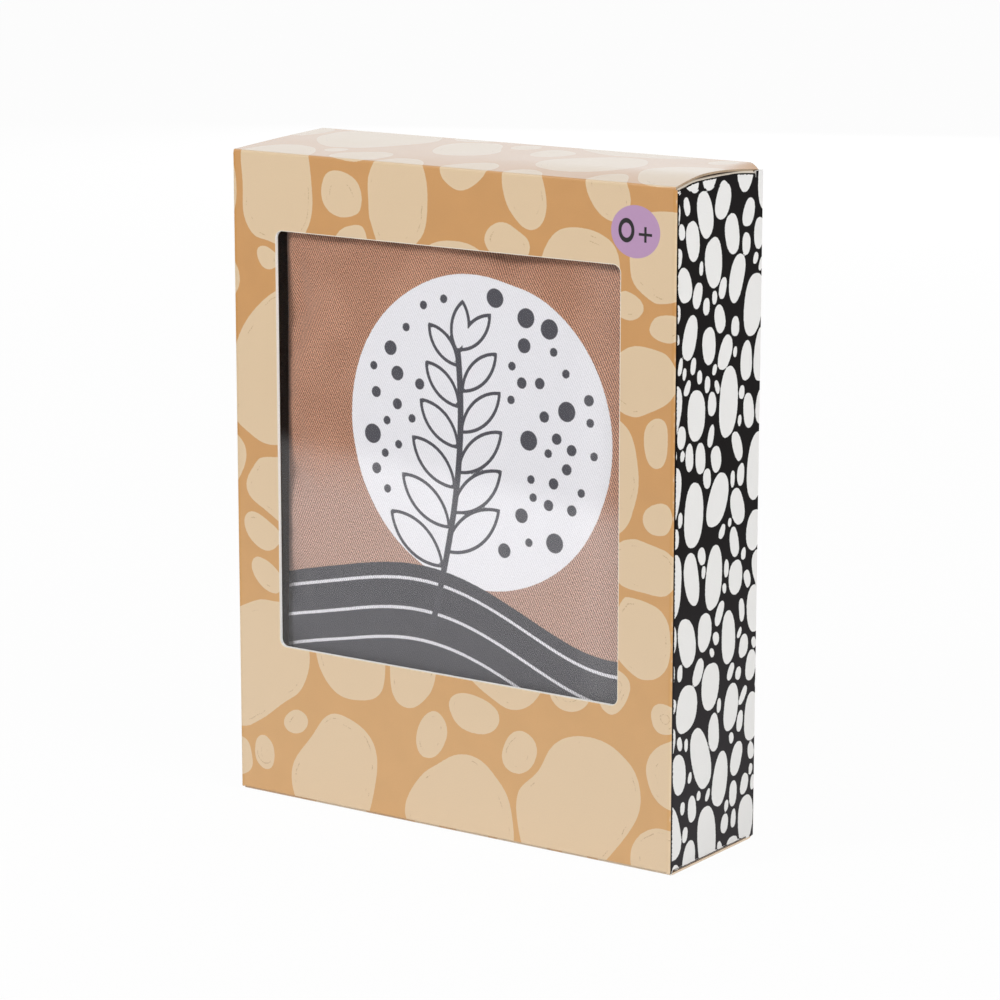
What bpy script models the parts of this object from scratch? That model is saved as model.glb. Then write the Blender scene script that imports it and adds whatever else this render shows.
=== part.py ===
"""A padded cloth book for a baby, standing in its printed carton with a film window.

Metres, +Z up. The window faces -Y, +X is to the right of someone who faces it, and the
origin is the middle of the footprint, at the height of the surface that the carton
stands on. The carton is a reverse tuck: its top lid is hinged on the front panel and
tucks in behind the back panel, and its bottom lid is hinged on the back panel and tucks
in behind the front panel.
"""

import math

import bmesh
import bpy
from mathutils import Matrix, Vector

COLLECTION = "baby_soft_book"

# Carton board and film
BOARD = 0.0006
FILM = 0.00025
FACE_GAP = 0.0003
CREASE_INNER_RADIUS = 0.0004
CREASE_STUB = 0.0003
FLAP_END_GAP = 0.0003

# Cloth book
BOOK_WIDTH = 0.130
BOOK_HEIGHT = 0.172
COVER_THICKNESS = 0.0052
LEAF_THICKNESS = 0.0046
LEAF_COUNT = 4
LEAF_INSET = 0.001
CLOTH = 0.0005
SEAM_WIDTH = 0.0015
WADDING_INSET = 0.001
SPINE_CLOTH = 0.001
SPINE_BULGE = 0.001

# Room round the book inside the carton
LEFT_PLAY = 0.0142
RIGHT_PLAY = 0.0046
REAR_PLAY = 0.00994
HEAD_PLAY = 0.0147

# Window in the front panel, measured from the carton's outer edges
WINDOW_LEFT_MARGIN = 0.0155
WINDOW_RIGHT_MARGIN = 0.0177
WINDOW_TOP_MARGIN = 0.0232
WINDOW_BOTTOM_MARGIN = 0.045
WINDOW_CORNER_RADIUS = 0.0022
FILM_LAP = 0.008
FILM_CORNER_RADIUS = 0.002

# Flaps
LID_SIDE_GAP = 0.0006
LID_REST_RISE = 0.0016
TOP_TUCK_LENGTH = 0.014
BOTTOM_TUCK_LENGTH = 0.011
TUCK_SIDE_GAP = 0.0016
TUCK_CORNER_RADIUS = 0.006
TUCK_SWING_CLEARANCE = 0.0002
DUST_FLAP_LENGTH = 0.034
DUST_FLAP_HINGE_GAP = 0.001
DUST_FLAP_TUCK_ROOM = 0.004
DUST_FLAP_CORNER_RADIUS = 0.004
DUST_FLAP_TURN_SHARE = 0.5
GLUE_FLAP_WIDTH = 0.014
GLUE_FLAP_END_INSET = 0.004

# Shape of a padded panel, as shares of its own sizes
CROWN_POWER = 0.22
DRAW_IN_SHARE = 0.006
CORNER_PULL_SHARE = 0.035
CELLS_ACROSS = 8
CELLS_UP = 10

ARC_STEPS = 4
SETTLING_ROUNDS = 12

# What follows from the sizes above
SEAM_HALF_GAP = FACE_GAP / 2
HINGE_DROP = BOARD + FACE_GAP / 2
CREASE_OUTER_RADIUS = CREASE_INNER_RADIUS + BOARD
BOOK_THICKNESS = 2 * COVER_THICKNESS + LEAF_COUNT * LEAF_THICKNESS + (LEAF_COUNT + 1) * FACE_GAP
END_STACK = 2 * BOARD + FACE_GAP
BOOK_SEAT = END_STACK + FACE_GAP
CARTON_WIDTH = 2 * BOARD + LEFT_PLAY + BOOK_WIDTH + RIGHT_PLAY
CARTON_HEIGHT = BOOK_SEAT + BOOK_HEIGHT + HEAD_PLAY + END_STACK


def tuck_reach(depth):
    """How far a lid's panel reaches from the face that it is hinged on to its tuck flap's inner face."""
    return depth - 2 * BOARD - FACE_GAP


def tuck_lean(depth, length):
    """The angle by which a tuck flap leans inwards, so that it swings clear of the panel it tucks behind.

    The flap's outer lower corner turns about the lid's hinge, and its greatest reach is held
    just short of that panel's inner face.
    """
    reach = tuck_reach(depth)
    drop = length + FACE_GAP / 2
    allowed = depth - BOARD - TUCK_SWING_CLEARANCE
    corner = math.hypot(BOARD, drop)
    offset = (allowed**2 - reach**2 - corner**2) / (2 * reach)
    return math.atan(BOARD / drop) + math.asin(-offset / corner)


def settled_depth():
    """The carton's depth. The bottom tuck flap's lean depends on it, so the two are settled by turns."""
    depth = BOARD + REAR_PLAY + BOOK_THICKNESS
    for _ in range(SETTLING_ROUNDS):
        lean = tuck_lean(depth, BOTTOM_TUCK_LENGTH)
        lean_in = (BOTTOM_TUCK_LENGTH + FACE_GAP / 2) * math.sin(lean)
        front_room = 2 * BOARD + FACE_GAP + lean_in + FACE_GAP
        depth = front_room + BOOK_THICKNESS + REAR_PLAY + BOARD
    return depth


CARTON_DEPTH = settled_depth()
RIGHT = CARTON_WIDTH / 2
LEFT = -RIGHT
REAR = CARTON_DEPTH / 2
FRONT = -REAR
LID_LENGTH = CARTON_DEPTH - BOARD - FACE_GAP
BOOK_LEFT = LEFT + BOARD + LEFT_PLAY
BOOK_REAR = REAR - BOARD - REAR_PLAY
BOOK_FRONT = BOOK_REAR - BOOK_THICKNESS
WALL_BOTTOM = BOARD + FACE_GAP
WALL_TOP = CARTON_HEIGHT - WALL_BOTTOM
SIDE_BOTTOM = END_STACK + FACE_GAP
SIDE_TOP = CARTON_HEIGHT - SIDE_BOTTOM


def clear_scene():
    for obj in list(bpy.data.objects):
        bpy.data.objects.remove(obj, do_unlink=True)


def make_collection():
    collection = bpy.data.collections.new(COLLECTION)
    bpy.context.scene.collection.children.link(collection)
    return collection


def make_material(name, colour, roughness, metallic=0.0, alpha=1.0):
    material = bpy.data.materials.new(name)
    material.use_nodes = True
    shader = material.node_tree.nodes["Principled BSDF"]
    shader.inputs["Base Color"].default_value = (*colour, 1.0)
    shader.inputs["Roughness"].default_value = roughness
    shader.inputs["Metallic"].default_value = metallic
    shader.inputs["Alpha"].default_value = alpha
    material.diffuse_color = (*colour, alpha)
    return material


def place(obj, collection, material, matrix, parent=None):
    collection.objects.link(obj)
    obj.data.materials.append(material)
    obj.parent = parent
    obj.matrix_local = matrix
    return obj


def add_pivot(name, collection, matrix, parent=None):
    pivot = bpy.data.objects.new(name, None)
    pivot.empty_display_size = BOARD
    collection.objects.link(pivot)
    pivot.parent = parent
    pivot.matrix_local = matrix
    return pivot


def arc_points(centre, radius, start, end, steps=ARC_STEPS):
    """Points on an arc in a plane, from the angle start to the angle end."""
    points = []
    for step in range(steps + 1):
        angle = start + (end - start) * step / steps
        points.append((centre[0] + radius * math.cos(angle), centre[1] + radius * math.sin(angle)))
    return points


def rounded_outline(corners, radii):
    """A closed outline through the corners, each rounded to its radius, or sharp where that is 0."""
    outline = []
    for i, corner in enumerate(corners):
        here = Vector(corner)
        if not radii[i]:
            outline.append(tuple(here))
            continue
        back = (Vector(corners[i - 1]) - here).normalized()
        ahead = (Vector(corners[(i + 1) % len(corners)]) - here).normalized()
        half = back.angle(ahead) / 2
        centre = here + (back + ahead).normalized() * radii[i] / math.sin(half)
        start = here + back * radii[i] / math.tan(half) - centre
        end = here + ahead * radii[i] / math.tan(half) - centre
        first = math.atan2(start.y, start.x)
        turn = math.atan2(start.x * end.y - start.y * end.x, start.dot(end))
        outline += arc_points(centre, radii[i], first, first + turn)
    return outline


def rectangle(left, right, low, high):
    return [(left, low), (right, low), (right, high), (left, high)]


def flat_sheet(name, outlines, thickness):
    """A flat sheet in the XY plane from Z 0 down to minus its thickness, with its later outlines as holes."""
    curve = bpy.data.curves.new(name, "CURVE")
    curve.dimensions = "2D"
    curve.fill_mode = "BOTH"
    curve.extrude = thickness / 2
    for outline in outlines:
        spline = curve.splines.new("POLY")
        spline.points.add(len(outline) - 1)
        for point, (x, y) in zip(spline.points, outline):
            point.co = (x, y, -thickness / 2, 1.0)
        spline.use_cyclic_u = True
    return bpy.data.objects.new(name, curve)


def folded_board(name, path, low, high):
    """An upright board whose outer face follows a path in plan, thickened towards the path's left."""
    mesh = bpy.data.meshes.new(name)
    build = bmesh.new()
    verts = [build.verts.new((x, y, low)) for x, y in path]
    edges = [build.edges.new(pair) for pair in zip(verts, verts[1:])]
    raised = bmesh.ops.extrude_edge_only(build, edges=edges)["geom"]
    top = [item for item in raised if isinstance(item, bmesh.types.BMVert)]
    bmesh.ops.translate(build, verts=top, vec=(0, 0, high - low))
    build.to_mesh(mesh)
    build.free()
    obj = bpy.data.objects.new(name, mesh)
    solidify = obj.modifiers.new("board thickness", "SOLIDIFY")
    solidify.thickness = BOARD
    solidify.offset = 1
    solidify.use_even_offset = True
    return obj


def upright(location, facing):
    """A frame whose XY plane stands upright at a location, with its Z axis pointing in the facing direction."""
    normal = Vector(facing)
    across = Vector((0, 0, 1)).cross(normal)
    frame = Matrix((across, (0, 0, 1), normal)).transposed().to_4x4()
    return Matrix.Translation(location) @ frame


def build_sleeve(collection, materials):
    """The four walls, the glue flap and the window film, which stay together as the lids open."""
    window = rounded_outline(
        rectangle(
            LEFT + WINDOW_LEFT_MARGIN,
            RIGHT - WINDOW_RIGHT_MARGIN,
            WINDOW_BOTTOM_MARGIN,
            CARTON_HEIGHT - WINDOW_TOP_MARGIN,
        ),
        [WINDOW_CORNER_RADIUS] * 4,
    )
    wall_inset = CREASE_OUTER_RADIUS + CREASE_STUB + FACE_GAP
    wall = rectangle(LEFT + wall_inset, RIGHT - wall_inset, WALL_BOTTOM, WALL_TOP)
    front = flat_sheet("front_panel", [wall, window], BOARD)
    place(front, collection, materials["print_amber"], upright((0, FRONT, 0), (0, -1, 0)))

    lap = rounded_outline(
        rectangle(
            LEFT + WINDOW_LEFT_MARGIN - FILM_LAP,
            RIGHT - WINDOW_RIGHT_MARGIN + FILM_LAP,
            WINDOW_BOTTOM_MARGIN - FILM_LAP,
            CARTON_HEIGHT - WINDOW_TOP_MARGIN + FILM_LAP,
        ),
        [FILM_CORNER_RADIUS] * 4,
    )
    film = flat_sheet("window_film", [lap], FILM)
    film_face = FRONT + BOARD + FACE_GAP
    place(film, collection, materials["film"], upright((0, film_face, 0), (0, -1, 0)))

    # The back panel's frame faces +Y, so its X axis runs towards the left side.
    glue_face = RIGHT - BOARD - FACE_GAP
    back_right = glue_face - wall_inset
    back_wall = rectangle(-back_right, RIGHT - wall_inset, WALL_BOTTOM, WALL_TOP)
    back = flat_sheet("back_panel", [back_wall], BOARD)
    place(back, collection, materials["print_amber"], upright((0, REAR, 0), (0, 1, 0)))

    # A straight stub at each fold's end squares its end face to the panel that it meets.
    radius = CREASE_OUTER_RADIUS
    stub = radius + CREASE_STUB
    right_path = [(RIGHT - stub, FRONT)]
    right_path += arc_points((RIGHT - radius, FRONT + radius), radius, -math.pi / 2, 0)
    right_path.append((RIGHT, REAR))
    right = folded_board("right_side_panel", right_path, SIDE_BOTTOM, SIDE_TOP)
    place(right, collection, materials["print_black"], Matrix())

    left_path = [(LEFT + stub, REAR)]
    left_path += arc_points((LEFT + radius, REAR - radius), radius, math.pi / 2, math.pi)
    left_path += arc_points((LEFT + radius, FRONT + radius), radius, math.pi, 1.5 * math.pi)
    left_path.append((LEFT + stub, FRONT))
    left = folded_board("left_side_panel", left_path, SIDE_BOTTOM, SIDE_TOP)
    place(left, collection, materials["print_black"], Matrix())

    glue_path = [(glue_face, REAR - radius - GLUE_FLAP_WIDTH)]
    glue_path += arc_points((glue_face - radius, REAR - radius), radius, 0, math.pi / 2)
    glue_path.append((glue_face - stub, REAR))
    glue_low = SIDE_BOTTOM + GLUE_FLAP_END_INSET
    glue_high = SIDE_TOP - GLUE_FLAP_END_INSET
    glue = folded_board("glue_flap", glue_path, glue_low, glue_high)
    place(glue, collection, materials["board"], Matrix())


def dust_flap_outline(side):
    """A dust flap in plan, from its hinge inwards. Side is 1 for the right flap and -1 for the left.

    Its edge by the lid's hinge slopes, so that the flap stays under the lid as both lift.
    """
    hinge = DUST_FLAP_HINGE_GAP / 2
    near = BOARD + CREASE_INNER_RADIUS + FACE_GAP
    far = CARTON_DEPTH - DUST_FLAP_TUCK_ROOM
    slope = DUST_FLAP_TURN_SHARE * DUST_FLAP_LENGTH
    corners = [
        (hinge, near),
        (DUST_FLAP_LENGTH, near + slope),
        (DUST_FLAP_LENGTH, far),
        (hinge, far),
    ]
    if side > 0:
        corners = [(-x, y) for x, y in reversed(corners)]
    radii = [0, DUST_FLAP_CORNER_RADIUS, DUST_FLAP_CORNER_RADIUS, 0]
    return rounded_outline(corners, radii)


def build_closure(collection, materials, end, base, rest_rise, tuck_length):
    """One end's lid, tuck flap and two dust flaps, in a frame that has the lid's hinge side at Y 0 and the
    lid's outer face at Z 0. The base matrix sets that frame at the carton's top or bottom."""
    root = add_pivot(f"{end}_closure", collection, base)

    rise = math.asin(rest_rise / LID_LENGTH)
    hinge = Matrix.Translation((0, 0, -HINGE_DROP)) @ Matrix.Rotation(rise, 4, "X")
    lid_pivot = add_pivot(f"{end}_lid_pivot", collection, hinge, root)
    lid_left = LEFT + LID_SIDE_GAP
    lid = flat_sheet(
        f"{end}_lid",
        [rectangle(lid_left, -lid_left, FLAP_END_GAP, LID_LENGTH)],
        BOARD,
    )
    lid_top = Matrix.Translation((0, 0, HINGE_DROP))
    place(lid, collection, materials["print_amber"], lid_top, lid_pivot)

    lean = tuck_lean(CARTON_DEPTH, tuck_length)
    crease = Matrix.Translation((0, LID_LENGTH - BOARD, 0)) @ Matrix.Rotation(-lean, 4, "X")
    tuck_pivot = add_pivot(f"{end}_tuck_pivot", collection, crease, lid_pivot)
    tuck_left = LEFT + BOARD + TUCK_SIDE_GAP
    tuck_top = -FACE_GAP / 2
    corners = rectangle(tuck_left, -tuck_left, tuck_top - tuck_length, tuck_top)
    radii = [TUCK_CORNER_RADIUS, TUCK_CORNER_RADIUS, 0, 0]
    tuck = flat_sheet(f"{end}_tuck_flap", [rounded_outline(corners, radii)], BOARD)
    # The flap's own frame faces inwards, so its board lies behind that face.
    place(tuck, collection, materials["print_amber"], upright((0, 0, 0), (0, -1, 0)), tuck_pivot)

    for side, word in ((-1, "left"), (1, "right")):
        top = -BOARD - FACE_GAP
        across = side * RIGHT
        spot = Matrix.Translation((across, 0, top))
        flap = flat_sheet(f"{end}_{word}_dust_flap", [dust_flap_outline(side)], BOARD)
        place(flap, collection, materials["board"], spot, root)


def pad_point(across, up, half_width, half_height):
    """Where a point of the unit square lies in a padded panel's plan: its sides draw in between
    rounded corners."""
    x = math.sin(across * math.pi / 2)
    y = math.sin(up * math.pi / 2)
    pull = 1 - CORNER_PULL_SHARE * (x * y) ** 2
    narrow = 1 - DRAW_IN_SHARE * (1 - y**2)
    low = 1 - DRAW_IN_SHARE * (1 - x**2)
    return x * half_width * pull * narrow, y * half_height * pull * low


def crown(across, up):
    """The share of the full rise that a padded panel has at a point of the unit square."""
    flat = math.cos(across * math.pi / 2) * math.cos(up * math.pi / 2)
    return max(0.0, flat) ** (2 * CROWN_POWER)


def add_pad_face(build, half_width, half_height, rise, base):
    """One crowned face of a padded panel, from its seam up. Gives back its vertices, in the same order
    for every panel."""
    made = bmesh.ops.create_grid(
        build, x_segments=CELLS_ACROSS, y_segments=CELLS_UP, size=1.0
    )["verts"]
    for vert in made:
        across, up = vert.co.x, vert.co.y
        x, y = pad_point(across, up, half_width, half_height)
        vert.co = (x, y, base + rise * crown(across, up))
    return made


def cloth_face(name, width, height, rise):
    """One crowned cloth of a padded panel, lying face up on the panel's middle plane, with a flat seam
    round its edge."""
    mesh = bpy.data.meshes.new(name)
    build = bmesh.new()
    outer = add_pad_face(build, width / 2, height / 2, rise, SEAM_HALF_GAP)
    inner = add_pad_face(
        build, width / 2 - SEAM_WIDTH, height / 2 - SEAM_WIDTH, rise - CLOTH, SEAM_HALF_GAP
    )
    within = dict(zip(outer, inner))
    rim = [edge for edge in build.edges if edge.is_boundary and edge.verts[0] in within]
    for edge in rim:
        first, second = edge.verts
        build.faces.new((first, second, within[second], within[first]))
    bmesh.ops.recalc_face_normals(build, faces=build.faces)
    build.to_mesh(mesh)
    build.free()
    mesh.shade_smooth()
    return bpy.data.objects.new(name, mesh)


def wadding_pad(name, width, height, rise):
    """A crowned pad of wadding, the same on both faces."""
    mesh = bpy.data.meshes.new(name)
    build = bmesh.new()
    add_pad_face(build, width / 2, height / 2, rise, 0)
    build.to_mesh(mesh)
    build.free()
    mesh.shade_smooth()
    obj = bpy.data.objects.new(name, mesh)
    mirror = obj.modifiers.new("other face", "MIRROR")
    mirror.use_axis = (False, False, True)
    mirror.merge_threshold = 0.000001
    return obj


def pad_foot(half_width, half_height):
    """How far a padded panel reaches below its middle, at the lowest point of its outline."""
    reaches = []
    for step in range(CELLS_ACROSS + 1):
        across = -1 + 2 * step / CELLS_ACROSS
        reaches.append(-pad_point(across, -1, half_width, half_height)[1])
    return max(reaches)


def build_padded_panel(collection, materials, names, width, height, thickness, middle):
    """A cover or a leaf: two cloths sewn edge to edge round a pad. Names holds the front cloth's, the
    pad's and the back cloth's names and the two cloths' materials."""
    front_name, pad_name, back_name, front_material, back_material = names
    rise = thickness / 2 - SEAM_HALF_GAP
    facing_front = upright(middle, (0, -1, 0))
    facing_back = upright(middle, (0, 1, 0))
    front = cloth_face(front_name, width, height, rise)
    place(front, collection, materials[front_material], facing_front)
    back = cloth_face(back_name, width, height, rise)
    place(back, collection, materials[back_material], facing_back)
    inset = SEAM_WIDTH + WADDING_INSET
    pad = wadding_pad(
        pad_name, width - 2 * inset, height - 2 * inset, rise - CLOTH - FACE_GAP
    )
    place(pad, collection, materials["wadding"], facing_front)


def build_book(collection, materials):
    """The covers, the leaves between them and the spine cloth that holds them."""
    panel_left = BOOK_LEFT + SPINE_CLOTH + FACE_GAP
    right_edge = BOOK_LEFT + BOOK_WIDTH
    cover_left = BOOK_LEFT
    cover_width = right_edge - cover_left
    foot = pad_foot(cover_width / 2, BOOK_HEIGHT / 2)
    book_middle = BOOK_SEAT + foot

    covers = (
        (
            BOOK_FRONT + COVER_THICKNESS / 2,
            ("front_cover_print", "front_cover_wadding", "front_cover_lining", "cover_print", "page_cloth"),
        ),
        (
            BOOK_REAR - COVER_THICKNESS / 2,
            ("back_cover_lining", "back_cover_wadding", "back_cover_print", "page_cloth", "cover_print"),
        ),
    )
    for y, names in covers:
        middle = ((cover_left + right_edge) / 2, y, book_middle)
        build_padded_panel(
            collection, materials, names, cover_width, BOOK_HEIGHT, COVER_THICKNESS, middle
        )

    leaf_right = right_edge - LEAF_INSET
    leaf_width = leaf_right - panel_left
    leaf_height = BOOK_HEIGHT - 2 * LEAF_INSET
    first = BOOK_FRONT + COVER_THICKNESS + FACE_GAP + LEAF_THICKNESS / 2
    for number in range(LEAF_COUNT):
        leaf = f"leaf_{number + 1}"
        names = (f"{leaf}_front_cloth", f"{leaf}_wadding", f"{leaf}_back_cloth", "page_cloth", "page_cloth")
        y = first + number * (LEAF_THICKNESS + FACE_GAP)
        middle = ((panel_left + leaf_right) / 2, y, book_middle)
        build_padded_panel(
            collection, materials, names, leaf_width, leaf_height, LEAF_THICKNESS, middle
        )

    build_spine(collection, materials, book_middle)


def build_spine(collection, materials, book_middle):
    """The spine cloth, a band that bows outwards between the two covers' left edges."""
    seam = SEAM_HALF_GAP + CLOTH + FACE_GAP
    start = BOOK_REAR - COVER_THICKNESS / 2 - seam
    end = BOOK_FRONT + COVER_THICKNESS / 2 + seam
    half = (start - end) / 2
    radius = (half**2 + SPINE_BULGE**2) / (2 * SPINE_BULGE)
    spread = math.asin(half / radius)
    centre = (BOOK_LEFT - SPINE_BULGE + radius, (start + end) / 2)
    path = arc_points(centre, radius, math.pi - spread, math.pi + spread, 2 * ARC_STEPS)
    half_height = BOOK_HEIGHT / 2 - LEAF_INSET
    spine = folded_board("spine_cloth", path, book_middle - half_height, book_middle + half_height)
    spine.modifiers["board thickness"].thickness = SPINE_CLOTH
    place(spine, collection, materials["cover_print"], Matrix())


def make_materials():
    return {
        "print_amber": make_material("amber print", (0.60, 0.33, 0.13), 0.5),
        "print_black": make_material("black and white print", (0.28, 0.27, 0.27), 0.5),
        "board": make_material("bare board", (0.80, 0.76, 0.70), 0.8),
        "film": make_material("window film", (0.9, 0.9, 0.9), 0.05, alpha=0.25),
        "cover_print": make_material("clay cover cloth", (0.38, 0.18, 0.11), 0.9),
        "page_cloth": make_material("page cloth", (0.75, 0.75, 0.77), 0.9),
        "wadding": make_material("wadding", (0.85, 0.85, 0.84), 1.0),
    }


def main():
    clear_scene()
    collection = make_collection()
    materials = make_materials()
    build_sleeve(collection, materials)
    top = Matrix.Translation((0, FRONT, CARTON_HEIGHT))
    build_closure(collection, materials, "top", top, LID_REST_RISE, TOP_TUCK_LENGTH)
    bottom = Matrix.Translation((0, REAR, 0)) @ Matrix.Rotation(math.pi, 4, "X")
    build_closure(collection, materials, "bottom", bottom, 0, BOTTOM_TUCK_LENGTH)
    build_book(collection, materials)


main()
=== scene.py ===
"""The boxed soft book's looks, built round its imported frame.

Lengths are in millimetres unless a name says otherwise.
"""

import math

import bpy
import numpy as np
from mathutils import Matrix, Vector

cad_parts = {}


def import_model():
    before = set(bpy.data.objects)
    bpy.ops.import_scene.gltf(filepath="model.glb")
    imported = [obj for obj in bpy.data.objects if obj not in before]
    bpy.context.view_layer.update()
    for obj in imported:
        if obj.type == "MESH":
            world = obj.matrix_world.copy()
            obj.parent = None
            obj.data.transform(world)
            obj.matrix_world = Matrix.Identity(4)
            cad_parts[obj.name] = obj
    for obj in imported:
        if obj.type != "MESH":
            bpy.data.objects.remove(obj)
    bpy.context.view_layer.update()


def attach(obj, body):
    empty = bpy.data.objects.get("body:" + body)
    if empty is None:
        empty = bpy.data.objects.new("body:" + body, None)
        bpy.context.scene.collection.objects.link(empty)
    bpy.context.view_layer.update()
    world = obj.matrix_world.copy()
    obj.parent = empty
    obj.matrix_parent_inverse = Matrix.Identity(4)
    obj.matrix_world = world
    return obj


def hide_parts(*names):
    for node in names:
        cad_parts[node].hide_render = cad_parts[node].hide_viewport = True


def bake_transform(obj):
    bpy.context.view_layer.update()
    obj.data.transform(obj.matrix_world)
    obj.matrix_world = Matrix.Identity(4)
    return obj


MM = 0.001
NET_UNIT = 100.0

# Camera
CAMERA_AZIMUTH = math.radians(34.66)
CAMERA_ELEVATION = math.radians(12.10)
CAMERA_ROLL = math.radians(0.04)
CAMERA_DISTANCE = 1055.8
CAMERA_LENS = 133.55
SENSOR_WIDTH = 36.0
AIM_HEIGHT = 95.0
AIM_RIGHT = 2.476
AIM_UP = -2.266

# Carton
BOARD = 0.6
FRONT_BOARD = 1.0
FILM = 0.25
HALF_WIDTH = 75.0
HALF_DEPTH = 22.0
FOLD = 1.0
SEAM_X = 73.7
FRONT_LOW = 0.9
FRONT_FOOT = 1.15
FRONT_HIGH = 189.1
SIDE_LOW = 1.8
SIDE_HIGH = 188.2
SHOULDER_HIGH = 190.2
BACK_RIGHT = 72.8
WINDOW_X = (-59.5, 57.3)
WINDOW_Z = (45.8, 167.7)
WINDOW_ROUND = 2.2
WINDOW_RIM = 0.2
FILM_X = (-67.5, 65.3)
FILM_Z = (37.0, 174.8)
FILM_ROUND = 2.0
FILM_Y = -20.98
GLUE_X = 74.1
GLUE_FRONT = 7.0
GLUE_Z = (5.8, 184.2)
SHOULDER = 3.7
SEAM_GAP = 0.3

# Lids
LID_HALF = 74.4
LID_FOLD = 0.95
CREASE_POWER = 0.6
CREASE_HIGH = 189.9
LID_REAR = 20.1
LID_RISE = 2.15
RIGHT_RISE = 1.95
LID_BOW = 0.15
LID_RISE_SHARE = 0.38
DROOP = 1.8
DROOP_WIDTH = 3.0
DROOP_START_SHARE = 0.45
DROOP_POWER = 1.6
TUCK_HALF = 72.8
TUCK_FOLD = 1.05
TOP_TUCK_FOOT = (19.35, 176.75)
BOTTOM_TUCK_FOOT = (-19.4, 11.88)
BOTTOM_REAR = 20.3
BOTTOM_FOLD = 0.6
TUCK_ROUND = 6.0
DUST_LENGTH = 34.0
DUST_NEAR = 1.3
DUST_FAR = 40.0
DUST_SLOPE = 0.5
DUST_ROUND = 4.0
DUST_LEVEL = 0.9
DUST_SETTLE = 10.0
TOP_LEAD = 1.3
TOP_SWELL = 0.45

ARC_STEPS = 6
FRONT_STEP = 0.8
SIDE_STEP = 0.55
TUCK_STEP = 1.5
PLAIN_STEP = 1.0
FILM_STEP = 2.5
DUST_STEP = 1.2
SHARP_ANGLE = math.radians(40)
KEEP_EDGE = 1e-6

# Prints
PEBBLE_SIZES = [(13.5, 110), (10.5, 500), (8.0, 1100), (5.8, 1600), (3.8, 1300), (2.5, 500)]
PEBBLE_TALL = (1.05, 1.85)
PEBBLE_GAP = (1.0, 2.2)
PEBBLE_CHANNEL = 1.5
PEBBLE_GROWTH = 1.1
PEBBLE_BLEND = 0.7
PEBBLE_REACH = 9.0
OVAL_SIZES = [(4.2, 300), (3.2, 900), (2.4, 1500), (1.7, 2400), (1.15, 3200)]
OVAL_TALL = (1.35, 2.2)
OVAL_GAP = (0.45, 0.85)
OVAL_LEAN = math.radians(14)
PRINT_EDGE = 0.07
RIB_PERIOD = 0.78
RIB_SLOPE = 0.55
PAGE_PERIOD = 0.9
DOT_CELL = 14.0
OFF_PRINT = -9.0

random = np.random.default_rng(20)


def srgb(red, green, blue):
    """A screen colour, from 0 to 255 a channel, as a linear colour with alpha."""
    channels = [value / 255 for value in (red, green, blue)]
    return tuple(
        value / 12.92 if value <= 0.04045 else ((value + 0.055) / 1.055) ** 2.4 for value in channels
    ) + (1.0,)


COVER_WHITE = srgb(236, 235, 240)
COVER_INK = srgb(78, 77, 84)


# Node arithmetic


def plug(tree, socket, value):
    """Links a wire to a socket, or sets the socket's own number or colour."""
    if isinstance(value, Wire):
        tree.links.new(value.socket, socket)
    else:
        socket.default_value = value


def fill(tree, made, inputs):
    """Plugs a node's inputs, each given by name or number."""
    for key, value in dict(inputs).items():
        plug(tree, made.inputs[key], value)


def node(tree, kind, inputs=(), **settings):
    made = tree.nodes.new("ShaderNode" + kind)
    for key, value in settings.items():
        setattr(made, key, value)
    fill(tree, made, inputs)
    return made


def wire(tree, kind, inputs=(), output=0, **settings):
    return Wire(tree, node(tree, kind, inputs, **settings).outputs[output])


class Wire:
    """A node's output, on which arithmetic can be written."""

    def __init__(self, tree, socket):
        self.tree = tree
        self.socket = socket

    def math(self, operation, *others):
        return wire(self.tree, "Math", enumerate((self, *others)), operation=operation)

    def __add__(self, other):
        return self.math("ADD", other)

    def __sub__(self, other):
        return self.math("SUBTRACT", other)

    def __mul__(self, other):
        return self.math("MULTIPLY", other)

    def absolute(self):
        return self.math("ABSOLUTE")

    def most(self, other):
        return self.math("MAXIMUM", other)

    def flip(self):
        return self * -1.0 + 1.0

    def ramp(self, low, high, start=0.0, end=1.0):
        """A smooth step from start to end, as the value goes from low to high."""
        inputs = enumerate((self, low, high, start, end))
        return wire(self.tree, "MapRange", inputs, interpolation_type="SMOOTHSTEP")


def split(vector):
    made = node(vector.tree, "SeparateXYZ", {0: vector})
    return [Wire(vector.tree, socket) for socket in made.outputs]


def join(tree, x, y):
    return wire(tree, "CombineXYZ", {0: x, 1: y})


def shade(colour, amount):
    """A colour or a vector times a number."""
    return wire(colour.tree, "VectorMath", {0: colour, "Scale": amount}, operation="SCALE")


def net_position(tree):
    """The point on the flat pattern, in millimetres."""
    return shade(wire(tree, "UVMap", uv_map="net"), NET_UNIT)


def reading(tree, name):
    """A number that the mesh carries at each point."""
    return wire(tree, "Attribute", output="Fac", attribute_name=name)


def noise(vector, size, detail=2.0, roughness=0.5):
    """Cloudy values from about 0.3 to 0.7, whose blobs are about size across."""
    inputs = {"Vector": vector, "Scale": 1 / size, "Detail": detail, "Roughness": roughness}
    return wire(vector.tree, "TexNoise", inputs)


def mix(factor, a, b):
    """Colour a where the factor is 0 and b where it is 1."""
    return wire(factor.tree, "Mix", {0: factor, 6: a, 7: b}, 2, data_type="RGBA")


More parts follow.
